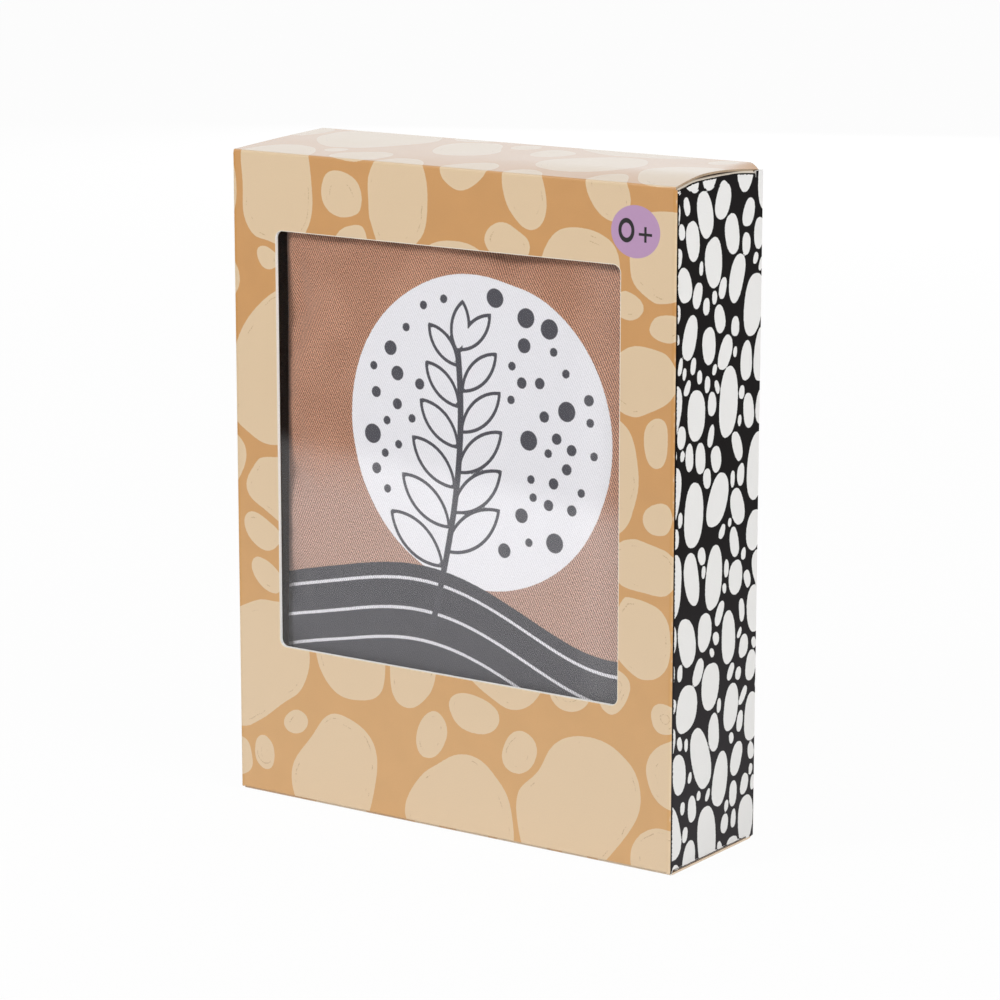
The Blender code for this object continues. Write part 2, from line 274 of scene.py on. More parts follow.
def strokes(position, cell, length, width, share):
    """Short pencil strokes, one to a cell at most, as a mask."""
    tree = position.tree
    cells = node(tree, "TexVoronoi", {"Scale": 1 / cell, "Vector": position}, voronoi_dimensions="2D")
    chance = split(Wire(tree, cells.outputs["Color"]))
    middle = split(Wire(tree, cells.outputs["Position"]))
    x, y = split(position)[:2]
    x = x - middle[0] * cell
    y = y - middle[1] * cell
    turn = chance[0] * 2.2 + 0.5
    sine = turn.math("SINE")
    cosine = turn.math("COSINE")
    along = x * cosine + y * sine
    beside = y * cosine - x * sine
    beside = beside + along * along * (chance[1] - 0.5) * 0.12
    reach = chance[1] * length
    mask = (along.absolute() - reach).ramp(-0.3, 0.3).flip()
    mask = mask * (beside.absolute() - chance[2] * width).ramp(-0.1, 0.1).flip()
    return mask * chance[2].ramp(1 - share, 1 - share + 0.02)


def start_material(name):
    material = bpy.data.materials.new(name)
    material.use_nodes = True
    tree = material.node_tree
    return material, tree, tree.nodes["Principled BSDF"]


def add_bump(tree, shader, height, distance, strength=1.0):
    """Height, from 0 to 1, raises the surface by distance metres."""
    bump = wire(tree, "Bump", {"Strength": strength, "Distance": distance, "Height": height})
    plug(tree, shader.inputs["Normal"], bump)


# Materials


def badge(position, colour):
    """The lilac age mark, a nought and a plus on a disc."""
    x, y = split(position)[:2]
    x = x - 62.0
    y = y - 177.1
    disc_x = x * (1 / 7.75)
    disc_y = y * (1 / 7.1)
    disc = (disc_x * disc_x + disc_y * disc_y).math("SQRT").ramp(0.99, 1.01).flip()
    ring_x = (x + 2.9) * (1 / 2.05)
    ring_y = (y - 0.2) * (1 / 2.65)
    ring = ((ring_x * ring_x + ring_y * ring_y).math("SQRT") - 1.0).absolute().ramp(0.22, 0.27).flip()
    plus_x = (x - 3.1).absolute()
    plus_y = (y + 0.6).absolute()
    upright = plus_x.ramp(0.34, 0.42).flip() * plus_y.ramp(2.05, 2.15).flip()
    level = plus_y.ramp(0.34, 0.42).flip() * plus_x.ramp(2.05, 2.15).flip()
    marks = ring.most(upright).most(level)
    lilac = mix(marks, srgb(184, 147, 184), srgb(4, 2, 3))
    return mix(disc, colour, lilac)


def amber_ink(position, fleck):
    """Pale pebbles with brushed rims on an amber ground."""
    tree = position.tree
    up = split(position)[1]
    stone = reading(tree, "stone")
    tremble = (noise(position, 1.1) - 0.5) * 0.5
    edge = stone + tremble * 0.4
    height = up.ramp(0.0, 150.0)
    ground = mix(height, srgb(216, 171, 119), srgb(203, 151, 94))
    ground = shade(ground, (noise(position, 9.0) - 0.5) * 0.10 + 1.0)
    pebble = mix(height, srgb(229, 204, 171), srgb(222, 196, 161))
    rim = edge.ramp(0.05, 0.25) * (stone + tremble * 2.0).ramp(0.35, 0.75).flip()
    pebble = mix(rim * 0.16, pebble, srgb(228, 206, 172))
    near = stone.ramp(0.8, 5.5, 1.0, 0.25)
    wander = (noise(position, 5.0, 2.0) - 0.5) * 1.6
    arcs = (stone + wander - 1.5).absolute().ramp(0.06, 0.20).flip() * noise(position, 6.5).ramp(0.57, 0.62)
    inner = (stone + wander - 2.9).absolute().ramp(0.05, 0.18).flip() * noise(position, 8.0).ramp(0.60, 0.65)
    pencil = strokes(position, 8.5, 3.4, 0.34, 0.62).most(strokes(position, 4.7, 1.6, 0.28, 0.5))
    broken = noise(position, 0.5).ramp(0.40, 0.56)
    pencil = (pencil * near).most(arcs).most(inner)
    pebble = mix(pencil * broken * 0.5, pebble, srgb(164, 126, 86))
    colour = mix(edge.ramp(-PRINT_EDGE, PRINT_EDGE), ground, pebble)
    return badge(position, shade(colour, fleck))


def black_ink(position, fleck):
    """White ovals on black."""
    tree = position.tree
    oval = reading(tree, "oval")
    tremble = (noise(position, 0.8) - 0.5) * 0.30
    inside = (oval + tremble).ramp(-PRINT_EDGE, PRINT_EDGE)
    inside = inside * (reading(tree, "black") + tremble * 2.0).ramp(0.45, 0.60)
    pencil = strokes(position, 3.4, 1.3, 0.22, 0.42) * oval.ramp(0.3, 1.6, 1.0, 0.15)
    white = mix(pencil * 0.75, srgb(236, 235, 233), srgb(60, 54, 52))
    # Painted light from the floor: the black is lighter towards the bottom of the side.
    black = mix(split(position)[1].ramp(5.0, 110.0), srgb(50, 47, 49), srgb(14, 10, 10))
    return shade(mix(inside, black, white), fleck)


def printed_board(name, coat, gloss):
    """Coated carton board, printed outside, rubbed pale along its folds."""
    material, tree, shader = start_material(name)
    position = net_position(tree)
    fine = noise(position, 0.35, 3.0, 0.6)
    fleck = (fine - 0.5) * 0.10 + 1.0
    black = reading(tree, "black").ramp(-PRINT_EDGE, PRINT_EDGE)
    colour = mix(black, amber_ink(position, fleck), black_ink(position, fleck))
    plain = reading(tree, "plain").ramp(-0.1, 0.1)
    colour = mix(plain, colour, mix(fine, srgb(230, 220, 203), srgb(244, 236, 223)))
    rubbed = (reading(tree, "ridge") + (noise(position, 2.2, 3.0) - 0.5) * 0.45).ramp(0.0, 0.16).flip()
    colour = mix(rubbed * 0.55, colour, srgb(236, 226, 210))
    fill(tree, shader, {
        "Base Color": colour,
        "Roughness": noise(position, 12.0, 3.0) * 0.12 + 0.30 + rubbed * 0.2,
        "Specular IOR Level": gloss,
        "Coat Weight": coat,
        "Coat Roughness": 0.10,
    })
    height = noise(position, 0.5, 2.0) * 0.5 + noise(position, 7.0) * 0.5
    add_bump(tree, shader, height, 0.00004)
    return material


def bare_board(name, dark, light):
    """Uncoated board, with short fibres."""
    material, tree, shader = start_material(name)
    position = net_position(tree)
    x, y = split(position)[:2]
    fibre = noise(join(tree, x * 0.25, y), 0.35, 3.0, 0.65)
    cloud = noise(position, 6.0, 2.0)
    colour = mix((fibre * 0.7 + cloud * 0.3).ramp(0.3, 0.7), dark, light)
    fill(tree, shader, {"Base Color": colour, "Roughness": fibre * 0.2 + 0.72})
    add_bump(tree, shader, fibre, 0.00005)
    return material


def clear_film(name):
    """A thin clear film, which adds its reflections, and a painted reflection: a faint whitish haze over its
    lower part and its right side.
    """
    material, tree, shader = start_material(name)
    tree.nodes.remove(shader)
    position = net_position(tree)
    x, y = split(position)[:2]
    ripples = wire(tree, "Bump", {"Distance": 0.0002, "Height": noise(position, 28.0, 1.0)})
    tint = noise(position, 30.0) * 0.2 + 0.30
    gloss = wire(tree, "BsdfGlossy", {"Color": tint, "Roughness": 0.06, "Normal": ripples})
    through = wire(tree, "BsdfTransparent", {"Color": (1, 1, 1, 1)})
    grazing = wire(tree, "LayerWeight", {"Blend": 0.5}, "Facing").math("POWER", 5.0)
    both = wire(tree, "MixShader", {0: grazing * 0.45 + 0.006, 1: through, 2: gloss})
    # Painted reflection: a faint whitish glow added on the film, strongest over its lower part and its right
    # side.
    low = (y + x * 0.07 + (noise(position, 25.0) - 0.5) * 6.0).ramp(99.0, 107.0).flip()
    beside = (x + (noise(position, 30.0) - 0.5) * 8.0).ramp(38.0, 52.0)
    cloud = noise(position, 5.0, 3.0) * 0.3 + 0.85
    painted_reflection = wire(tree, "BsdfDiffuse", {"Color": (low * 0.034 + beside * 0.018 + 0.001) * cloud})
    film_with_painted_reflection = wire(tree, "AddShader", {0: both, 1: painted_reflection})
    plug(tree, tree.nodes["Material Output"].inputs[0], film_with_painted_reflection)
    return material


def twill(position):
    """The height of a twill weave: steep ribs, broken by the threads that cross them."""
    tree = position.tree
    x, y = split(position)[:2]
    sway = (noise(position, 30.0, 2.0) - 0.5) * 0.9 + (noise(position, 3.0, 1.0) - 0.5) * 0.12
    across = (x + y * RIB_SLOPE + sway) * (2 * math.pi / RIB_PERIOD)
    rib = across.math("SINE") * 0.5 + 0.5
    along = (y - x * 0.35 + sway) * (2 * math.pi / (RIB_PERIOD * 0.62))
    thread = along.math("SINE") * 0.5 + 0.5
    slub = noise(join(tree, x * 1.6, y), 0.5, 3.0, 0.65).ramp(0.38, 0.62)
    return rib * 0.42 + rib * thread * 0.24 + slub * 0.34


def cover_cloth(name):
    """Printed twill: a pale disc over dark hills, with a leafy sprig and dots."""
    material, tree, shader = start_material(name)
    position = net_position(tree)
    weave = twill(position)
    bleed = (noise(position, 0.6) - 0.5) * 0.35
    soft = 0.14
    cloud = noise(position, 22.0, 2.0)
    up = split(position)[1] + (cloud - 0.5) * 12.0
    high = mix(cloud.ramp(0.35, 0.65), srgb(180, 131, 106), srgb(190, 141, 116))
    ground = mix(up.ramp(90.0, 108.0), srgb(186, 151, 137), high)
    disc = (reading(tree, "disc") + bleed).ramp(-soft, soft)
    colour = mix(disc, ground, COVER_WHITE)
    hill_reading = reading(tree, "hill") + bleed
    lines = ((hill_reading * (1 / 8.0)).math("FRACT") - 0.5).absolute().ramp(0.035, 0.07).flip()
    lines = lines * hill_reading.ramp(3.0, 3.2) * hill_reading.ramp(21.0, 21.2).flip()
    hill_colour = mix(lines, srgb(73, 72, 78), srgb(226, 224, 230))
    dark = hill_reading.ramp(-soft, soft)
    colour = mix(dark, colour, hill_colour)
    leaf = reading(tree, "leaf") + bleed * 0.5
    leaf_colour = mix((leaf - 0.6).absolute().ramp(0.38, 0.58), COVER_INK, COVER_WHITE)
    colour = mix(leaf.ramp(-soft, soft), colour, leaf_colour)
    ink = reading(tree, "ink") + bleed * 0.5
    colour = mix(ink.ramp(-soft, soft), colour, COVER_INK)
    # Painted shade and highlight of the weave: the colour darkens in the gaps between the ribs and lightens
    # on their tops, along with the yarn's own uneven tone.
    weave_shade_depth = disc.flip() * (dark * -1.0 + 1.6) + 0.26
    colour = shade(colour, (weave - 0.5) * weave_shade_depth + 1.04)
    fill(tree, shader, {
        "Base Color": colour,
        "Roughness": weave * -0.1 + 0.9,
        "Specular IOR Level": 0.25,
        "Sheen Weight": 0.25,
        "Sheen Roughness": 0.5,
    })
    add_bump(tree, shader, weave, 0.00005, 0.8)
    return material


def page_cloth(name, ground, motif):
    """Printed plain weave for the leaves and linings, with a simple dotted motif."""
    material, tree, shader = start_material(name)
    position = net_position(tree)
    x, y = split(position)[:2]
    turns = 2 * math.pi / PAGE_PERIOD
    weave = (x * turns).math("SINE") * (y * turns).math("SINE") * 0.5 + 0.5
    slub = noise(join(tree, x * 2.0, y * 0.5), 0.9, 3.0)
    weave = weave * 0.6 + slub * 0.4
    inputs = {"Scale": 1 / DOT_CELL, "Randomness": 0.7, "Vector": position}
    dots = wire(tree, "TexVoronoi", inputs, "Distance", voronoi_dimensions="2D")
    dot = (dots * DOT_CELL + (noise(position, 3.0) - 0.5)).ramp(2.3, 2.55).flip()
    # The base colour follows the weave: painted shade between the threads and painted highlight on them,
    # along with the yarn's own uneven tone.
    fill(tree, shader, {
        "Base Color": shade(mix(dot, ground, motif), weave * 0.25 + 0.86),
        "Roughness": weave * -0.1 + 0.9,
        "Specular IOR Level": 0.2,
        "Sheen Weight": 0.2,
    })
    add_bump(tree, shader, weave, 0.00006)
    return material


# Print patterns


def ripple(u, v, size, seed, count=7):
    """A smooth wandering value from about -1 to 1, with waves about size long."""
    waves = np.random.default_rng(seed)
    total = np.zeros_like(u, dtype=float)
    for _ in range(count):
        angle = waves.uniform(0, 2 * math.pi)
        length = size * waves.uniform(0.7, 1.6)
        phase = waves.uniform(0, 2 * math.pi)
        total += np.sin((u * math.cos(angle) + v * math.sin(angle)) * 2 * math.pi / length + phase)
    return total / math.sqrt(count)


def oval_value(x, y, oval):
    """An oval's own measure at points: 1 on its edge, less inside."""
    along = (x - oval[0]) * np.cos(oval[4]) + (y - oval[1]) * np.sin(oval[4])
    beside = (y - oval[1]) * np.cos(oval[4]) - (x - oval[0]) * np.sin(oval[4])
    turn = np.arctan2(beside / oval[3], along / oval[2])
    wobble = 1 + oval[5] * np.sin(2 * turn + oval[6]) + oval[5] * 0.6 * np.sin(3 * turn + oval[7])
    power = 2.3
    value = (np.abs(along / oval[2]) ** power + np.abs(beside / oval[3]) ** power) ** (1 / power)
    return value / wobble


def oval_rim(oval, gap):
    """Points round an oval, a gap outside its edge."""
    turn = np.linspace(0, 2 * math.pi, 20, endpoint=False)
    along = (oval[2] + gap) * np.cos(turn)
    beside = (oval[3] + gap) * np.sin(turn)
    x = oval[0] + along * np.cos(oval[4]) - beside * np.sin(oval[4])
    y = oval[1] + along * np.sin(oval[4]) + beside * np.cos(oval[4])
    return x, y


def scatter_ovals(low, high, sizes, tall_range, gap_range, spread):
    """Ovals packed from large to small over part of the net, leaning by a spread or any way at all."""
    kept = []
    for half_width, tries in sizes:
        for _ in range(tries):
            across = half_width * random.uniform(0.8, 1.2)
            tall = across * random.uniform(*tall_range)
            lean = random.normal(0, spread) if spread else random.uniform(0, math.pi)
            spot = random.uniform(low, high)
            wobble = random.uniform(0.02, 0.06)
            phases = random.uniform(0, 2 * math.pi, 2)
            oval = np.array([*spot, across, tall, lean, wobble, *phases])
            gap = random.uniform(*gap_range)
            if kept:
                known = np.array(kept)
                away = np.hypot(known[:, 0] - spot[0], known[:, 1] - spot[1])
                if (away < np.minimum(known[:, 2], across) * 1.9).any():
                    continue
                near = known[away < known[:, 3] + tall + 2 + gap]
                x, y = oval_rim(oval, gap)
                if any((oval_value(x, y, other) < 1).any() for other in near):
                    continue
                if any((oval_value(*oval_rim(other, gap), oval) < 1).any() for other in near):
                    continue
            kept.append(oval)
    return np.array(kept)


def inside_oval(x, y, oval):
    """How far points lie inside an oval's edge; negative outside."""
    step = 0.05
    slope = np.hypot(
        oval_value(x + step, y, oval) - oval_value(x - step, y, oval),
        oval_value(x, y + step, oval) - oval_value(x, y - step, oval),
    ) / (2 * step)
    return (1 - oval_value(x, y, oval)) / np.maximum(slope, 0.4 / oval[3])


def oval_distance(u, v, ovals):
    """How far each point lies inside the nearest oval's edge; negative on the black."""
    best = np.full(u.shape, -9.0)
    for oval in ovals:
        close = np.hypot(u - oval[0], v - oval[1]) < oval[3] * 1.5 + 3
        if close.any():
            best[close] = np.maximum(best[close], inside_oval(u[close], v[close], oval))
    return best


def pebble_distance(u, v, pebbles):
    """How far each point lies inside the nearest pebble's edge; negative in the channels.

    Each pebble grows a little, until a channel is left between it and its neighbours.
    """
    warped_u = u + ripple(u, v, 30.0, 3) * 0.8
    warped_v = v + ripple(u, v, 28.0, 4) * 0.8
    best = np.full(u.shape, -PEBBLE_REACH)
    second = best.copy()
    for pebble in pebbles:
        close = np.hypot(warped_u - pebble[0], warped_v - pebble[1]) < pebble[3] + PEBBLE_REACH
        if close.any():
            inside = inside_oval(warped_u[close], warped_v[close], pebble)
            second[close] = np.maximum(second[close], np.minimum(best[close], inside))
            best[close] = np.maximum(best[close], inside)
    width = PEBBLE_CHANNEL * (1 + 0.35 * ripple(u, v, 26.0, 5))
    between = (best - second) / 2 - width / 2
    own = best + PEBBLE_GROWTH
    return -np.logaddexp(-between / PEBBLE_BLEND, -own / PEBBLE_BLEND) * PEBBLE_BLEND


# Board


def lines(step, *musts):
    """Grid lines no further than a step apart that pass through each of the given places."""
    places = sorted(set(round(place, 6) for place in musts))
    found = [places[0]]
    for a, b in zip(places, places[1:]):
        count = max(1, math.ceil((b - a) / step))
        found += [a + (b - a) * (k + 1) / count for k in range(count)]
    return np.array(found)


def arc_lines(start, radius):
    """Grid lines round a quarter fold that starts at a place and is measured along its surface."""
    return [start + radius * math.pi / 2 * k / ARC_STEPS for k in range(ARC_STEPS + 1)]


def corner_lines(low, high, radius):
    """Grid lines through the points of a rectangle's rounded corners."""
    offsets = [radius * (1 - math.cos(math.pi / 2 * k / ARC_STEPS)) for k in range(ARC_STEPS + 1)]
    return [low + offset for offset in offsets] + [high - offset for offset in offsets]


def rounded_box(u, v, box_u, box_v, radius):
    """The distance outside a rectangle with rounded corners; negative inside."""
    middle_u, middle_v = sum(box_u) / 2, sum(box_v) / 2
    past_u = np.abs(u - middle_u) - (box_u[1] - box_u[0]) / 2 + radius
    past_v = np.abs(v - middle_v) - (box_v[1] - box_v[0]) / 2 + radius
    outside = np.hypot(np.maximum(past_u, 0), np.maximum(past_v, 0))
    return outside + np.minimum(np.maximum(past_u, past_v), 0) - radius


def grid_quads(index):
    """The four points of each cell of a grid, as numbers."""
    cells = [index[:-1, :-1], index[1:, :-1], index[1:, 1:], index[:-1, 1:]]
    return np.stack(cells, axis=-1).reshape(-1, 4)


def loop_points(mesh):
    """The number of the point at each corner of each face."""
    points = np.zeros(len(mesh.loops), dtype=np.int64)
    mesh.loops.foreach_get("vertex_index", points)
    return points


def store_net(mesh, net):
    """Writes the points' places on the flat pattern as a UV map."""
    layer = mesh.uv_layers.new(name="net")
    layer.data.foreach_set("uv", (net[loop_points(mesh)] / NET_UNIT).astype(np.float32).ravel())


def store_readings(mesh, readings):
    for key, value in readings.items():
        attribute = mesh.attributes.new(key, "FLOAT", "POINT")
        attribute.data.foreach_set("value", np.asarray(value, dtype=np.float32))


def everywhere(u, v):
    return np.ones_like(u)


def build_sheet(name, us, vs, outer, facing, thickness, materials, net=None, keep=everywhere, readings=None):
    """A sheet whose outer face follows outer(u, v) over a grid, with an inner face and a cut edge.

    Facing is a rough direction out of the outer face. The three materials are the outer face's, the inner
    face's and the cut edge's. Readings gives numbers to store at each point from its net coordinates.
    """
    u, v = np.meshgrid(us, vs, indexing="ij")
    points = np.stack(np.broadcast_arrays(*outer(u, v)), axis=-1).astype(float)
    du = np.gradient(points, axis=0)
    dv = np.gradient(points, axis=1)
    normals = np.cross(du, dv)
    normals /= np.maximum(np.linalg.norm(normals, axis=-1, keepdims=True), 1e-12)
    turned = (normals.reshape(-1, 3) @ np.array(facing, float)).sum() < 0
    if turned:
        normals = -normals
    held = keep(u, v) >= -KEEP_EDGE
    index = np.arange(u.size).reshape(u.shape)
    corners = grid_quads(index)
    present = held.ravel()[corners]
    count = present.sum(axis=1)
    faces = [list(face) for face in corners[count == 4]]
    faces += [list(face[there]) for face, there in zip(corners[count == 3], present[count == 3])]
    if turned:
        faces = [face[::-1] for face in faces]
    used = sorted({corner for face in faces for corner in face})
    renumber = {old: new for new, old in enumerate(used)}
    faces = [[renumber[corner] for corner in face] for face in faces]
    total = len(used)
    edges = {(a, b) for face in faces for a, b in zip(face, face[1:] + face[:1])}
    rim = [(a, b) for a, b in sorted(edges) if (b, a) not in edges]
    everything = faces + [[corner + total for corner in face[::-1]] for face in faces]
    everything += [[b, a, a + total, b + total] for a, b in rim]
    flat_points = points.reshape(-1, 3)[used]
    flat_normals = normals.reshape(-1, 3)[used]
    both = np.concatenate([flat_points, flat_points - flat_normals * thickness]) * MM
    mesh = bpy.data.meshes.new(name)
    mesh.from_pydata(both.tolist(), [], everything)
    for material in materials:
        mesh.materials.append(material)
    slots = [0] * len(faces) + [1] * len(faces) + [2] * len(rim)
    mesh.polygons.foreach_set("material_index", slots)
    flat_u, flat_v = (net or (lambda a, b: (a, b)))(u, v)
    flat_u = np.broadcast_to(flat_u, u.shape).ravel()[used]
    flat_v = np.broadcast_to(flat_v, u.shape).ravel()[used]
    store_net(mesh, np.tile(np.stack([flat_u, flat_v], axis=-1), (2, 1)))
    if readings:
        found = readings(flat_u, flat_v)
        store_readings(mesh, {key: np.tile(value, 2) for key, value in found.items()})
    mesh.polygons.foreach_set("use_smooth", [True] * len(mesh.polygons))
    mesh.set_sharp_from_angle(angle=SHARP_ANGLE)
    return add_object(name, mesh)


def add_object(name, mesh):
    mesh.update()
    obj = bpy.data.objects.new(name, mesh)
    bpy.context.scene.collection.objects.link(obj)
    return obj


def finish_piece(obj, slot, replaced, body, other=None, start=None, end=None):
    """Hides the CAD part that a piece stands in for, and attaches the piece to the body it moves with; a
    piece given a second body is left where it is, with its transform baked.
    """
    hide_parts(replaced)
    if other:
        [c * MM for c in start]
        [c * MM for c in end]
        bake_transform(obj)
    else:
        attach(obj, body)


def build_board(name, us, vs, surface, facing, faces, slot, replaced, moves=("carton",), thick=BOARD, **more):
    """A piece of the carton: its sheet, with the CAD part it stands for hidden, attached to the body it moves
    with when only one body is given.
    """
    sheet = build_sheet(name, us, vs, surface, facing, thick, faces, **more)
    finish_piece(sheet, slot, replaced, *moves)


def never(u, v):
    return np.full(u.shape, OFF_PRINT)


def print_readings(pebbles, ovals=None, black=never, plain=never, ridges_u=(), ridges_v=()):
    """Readings for the print: how far inside a pebble, an oval, the black side and the bare board a point
    is, and how far it is from the nearest fold."""

    def read(u, v):
        ridge = -never(u, v)
        for place in ridges_u:
            ridge = np.minimum(ridge, np.abs(u - place))
        for place in ridges_v:
            ridge = np.minimum(ridge, np.abs(v - place))
        return {
            "stone": pebble_distance(u, v, pebbles),
            "oval": never(u, v) if ovals is None else oval_distance(u, v, ovals),
            "black": black(u, v),
            "plain": plain(u, v),
            "ridge": ridge,
        }

    return read


FOLD_LENGTH = FOLD * math.pi / 2
SIDE_START = HALF_WIDTH - FOLD + FOLD_LENGTH
SIDE_END = SIDE_START + 2 * HALF_DEPTH - FOLD
REAR_FOLD_START = SIDE_START + 2 * (HALF_DEPTH - FOLD)
FRONT_RIDGE = HALF_WIDTH - FOLD + 0.5 * FOLD_LENGTH
BLACK_START = FRONT_RIDGE + 0.1
RIDGE_SHIFT = 0.12
REAR_SHIFT = 0.25
REAR_RIDGE = REAR_FOLD_START + 0.5 * FOLD_LENGTH
BACK_NET = 2 * HALF_WIDTH + 2 * HALF_DEPTH + 0.5


def quarter(v, start, radius):
    """The angle turned round a quarter fold at a place on the net, and the way past the fold."""
    angle = np.clip((v - start) / radius, 0, math.pi / 2)
    return angle, np.maximum(v - start - radius * math.pi / 2, 0)


def plan(u):
    """Where a place on the net, right of the front's middle, lies in plan once the sleeve is folded."""
    angle, _ = quarter(u, HALF_WIDTH - FOLD, FOLD)
    x = np.where(u < HALF_WIDTH - FOLD, u, HALF_WIDTH - FOLD + FOLD * np.sin(angle))
    y = np.where(u < SIDE_START, -FOLD * np.cos(angle), u - SIDE_START)
    return x, y + FOLD - HALF_DEPTH


def plan_left(u):
    """The same for the left side, mirrored, which also carries the fold to the back."""
    x, y = plan(u)
    angle, past = quarter(u, REAR_FOLD_START, FOLD)
    x = np.where(u > REAR_FOLD_START, HALF_WIDTH - FOLD + FOLD * np.cos(angle) - past, x)
    y = np.where(u > REAR_FOLD_START, HALF_DEPTH - FOLD + FOLD * np.sin(angle), y)
    return -x, y


def side_keep(u, v):
    """The side board's outline, with shoulders beside the dust flap's folds."""
    body = -np.maximum(SIDE_LOW - v, v - SIDE_HIGH)
    y = u - SIDE_START - HALF_DEPTH + FOLD
    rear = np.minimum(y - (HALF_DEPTH - SHOULDER), SHOULDER_HIGH - v)
    rear = np.minimum(rear, v - SIDE_LOW)
    foot = np.minimum(y - (HALF_DEPTH - SHOULDER), v - FRONT_LOW)
    foot = np.minimum(foot, SIDE_HIGH - v)
    front = np.minimum(HALF_WIDTH - FOLD + FOLD_LENGTH - u, FRONT_HIGH - v)
    front = np.minimum(front, v - FRONT_LOW)
    return np.maximum.reduce([body, rear, foot, front])


def window_box(u, v):
    """The distance outside the window; negative inside it."""
    return rounded_box(u, v, WINDOW_X, WINDOW_Z, WINDOW_ROUND)


def build_sleeve(materials, pebbles, right_ovals, left_ovals):
    amber = (materials["amber"], materials["inside"], materials["edge"])
    black = (materials["black"], materials["inside"], materials["edge"])
    window = corner_lines(*WINDOW_X, WINDOW_ROUND)
    us = lines(FRONT_STEP, -SEAM_X, SEAM_X, *window)
    vs = lines(FRONT_STEP, FRONT_FOOT, FRONT_HIGH, *corner_lines(*WINDOW_Z, WINDOW_ROUND))
    build_board(
        "front_board", us, vs, lambda u, v: (u, -HALF_DEPTH, v), (0, -1, 0), amber,
        "amber_print", "front_panel", thick=FRONT_BOARD, keep=window_box,
        readings=print_readings(pebbles, plain=lambda u, v: WINDOW_RIM - window_box(u, v)),
    )

    folded = [SEAM_X, *arc_lines(HALF_WIDTH - FOLD, FOLD), SIDE_END - SHOULDER]
    rear_fold = arc_lines(REAR_FOLD_START, FOLD)
    vs = lines(SIDE_STEP, FRONT_LOW, SIDE_LOW, SIDE_HIGH, FRONT_HIGH, SHOULDER_HIGH)
    build_board(
        "right_board", lines(SIDE_STEP, *folded, SIDE_END), vs, lambda u, v: (*plan(u), v), (1, 0, 0), black,
        "black_print", "right_side_panel", keep=side_keep,
        readings=print_readings(
            pebbles, right_ovals, lambda u, v: u - BLACK_START, ridges_u=[FRONT_RIDGE - RIDGE_SHIFT]
        ),
    )
    build_board(
        "left_board", lines(SIDE_STEP, *folded, *rear_fold, rear_fold[-1] + SEAM_GAP), vs,
        lambda u, v: (*plan_left(u), v), (-1, 0, 0), black,
        "black_print", "left_side_panel", net=lambda u, v: (-u, v), keep=side_keep,
        readings=print_readings(
            pebbles, left_ovals,
            lambda u, v: np.minimum(-u - BLACK_START, REAR_RIDGE - REAR_SHIFT + u),
            ridges_u=[-FRONT_RIDGE, -REAR_RIDGE],
        ),
    )

    vs = lines(PLAIN_STEP, FRONT_LOW, FRONT_HIGH)
    build_board(
        "back_board", lines(PLAIN_STEP, -SEAM_X, BACK_RIGHT), vs,
        lambda u, v: (u, HALF_DEPTH, v), (0, 1, 0), amber,
        "amber_print", "back_panel", net=lambda u, v: (BACK_NET - u, v), readings=print_readings(pebbles),
    )

    glue_fold = HALF_DEPTH - FOLD
    glue_flat = glue_fold + FOLD_LENGTH

    def glue_plan(u, v):
        angle, past = quarter(u, glue_fold, FOLD)
        x = np.where(u < glue_fold, GLUE_X, GLUE_X - FOLD + FOLD * np.cos(angle) - past)
        y = np.where(u < glue_fold, u, glue_fold + FOLD * np.sin(angle))
        return x, y, v

    us = lines(PLAIN_STEP, GLUE_FRONT, *arc_lines(glue_fold, FOLD), glue_flat + SEAM_GAP)
    build_board(
        "glue_board", us, lines(PLAIN_STEP, *GLUE_Z), glue_plan, (1, 0.5, 0), amber,
        "bare_board", "glue_flap",
        net=lambda u, v: (BACK_NET - BACK_RIGHT - SEAM_GAP - (u - glue_flat), v),
        readings=print_readings(pebbles, plain=lambda u, v: BACK_NET - BACK_RIGHT + FOLD_LENGTH - u),
    )

    us = lines(FILM_STEP, *corner_lines(*FILM_X, FILM_ROUND))
    vs = lines(FILM_STEP, *corner_lines(*FILM_Z, FILM_ROUND))
    build_board(
        "film_sheet", us, vs, lambda u, v: (u, FILM_Y, v), (0, -1, 0), (materials["film"],) * 3,
        "film", "window_film", thick=FILM,
        keep=lambda u, v: -rounded_box(u, v, FILM_X, FILM_Z, FILM_ROUND),
    )


LID_START = FRONT_HIGH
LID_FLAT = LID_START + LID_FOLD * math.pi / 2
LID_FRONT = -HALF_DEPTH + LID_FOLD
LID_END = LID_FLAT + LID_REAR - LID_FRONT
BOTTOM_END = LID_FLAT + BOTTOM_REAR - LID_FRONT
LID_TOP = FRONT_HIGH + LID_FOLD
TUCK_FLAT = LID_END + TUCK_FOLD * math.pi / 2
BOTTOM_FLAT = BOTTOM_END + BOTTOM_FOLD * math.pi / 2
TOP_TUCK_LENGTH = math.dist((LID_REAR + TUCK_FOLD, LID_TOP + LID_RISE - TUCK_FOLD), TOP_TUCK_FOOT)
BOTTOM_TUCK_LENGTH = math.dist((-BOTTOM_REAR - BOTTOM_FOLD, BOTTOM_FOLD), BOTTOM_TUCK_FOOT)


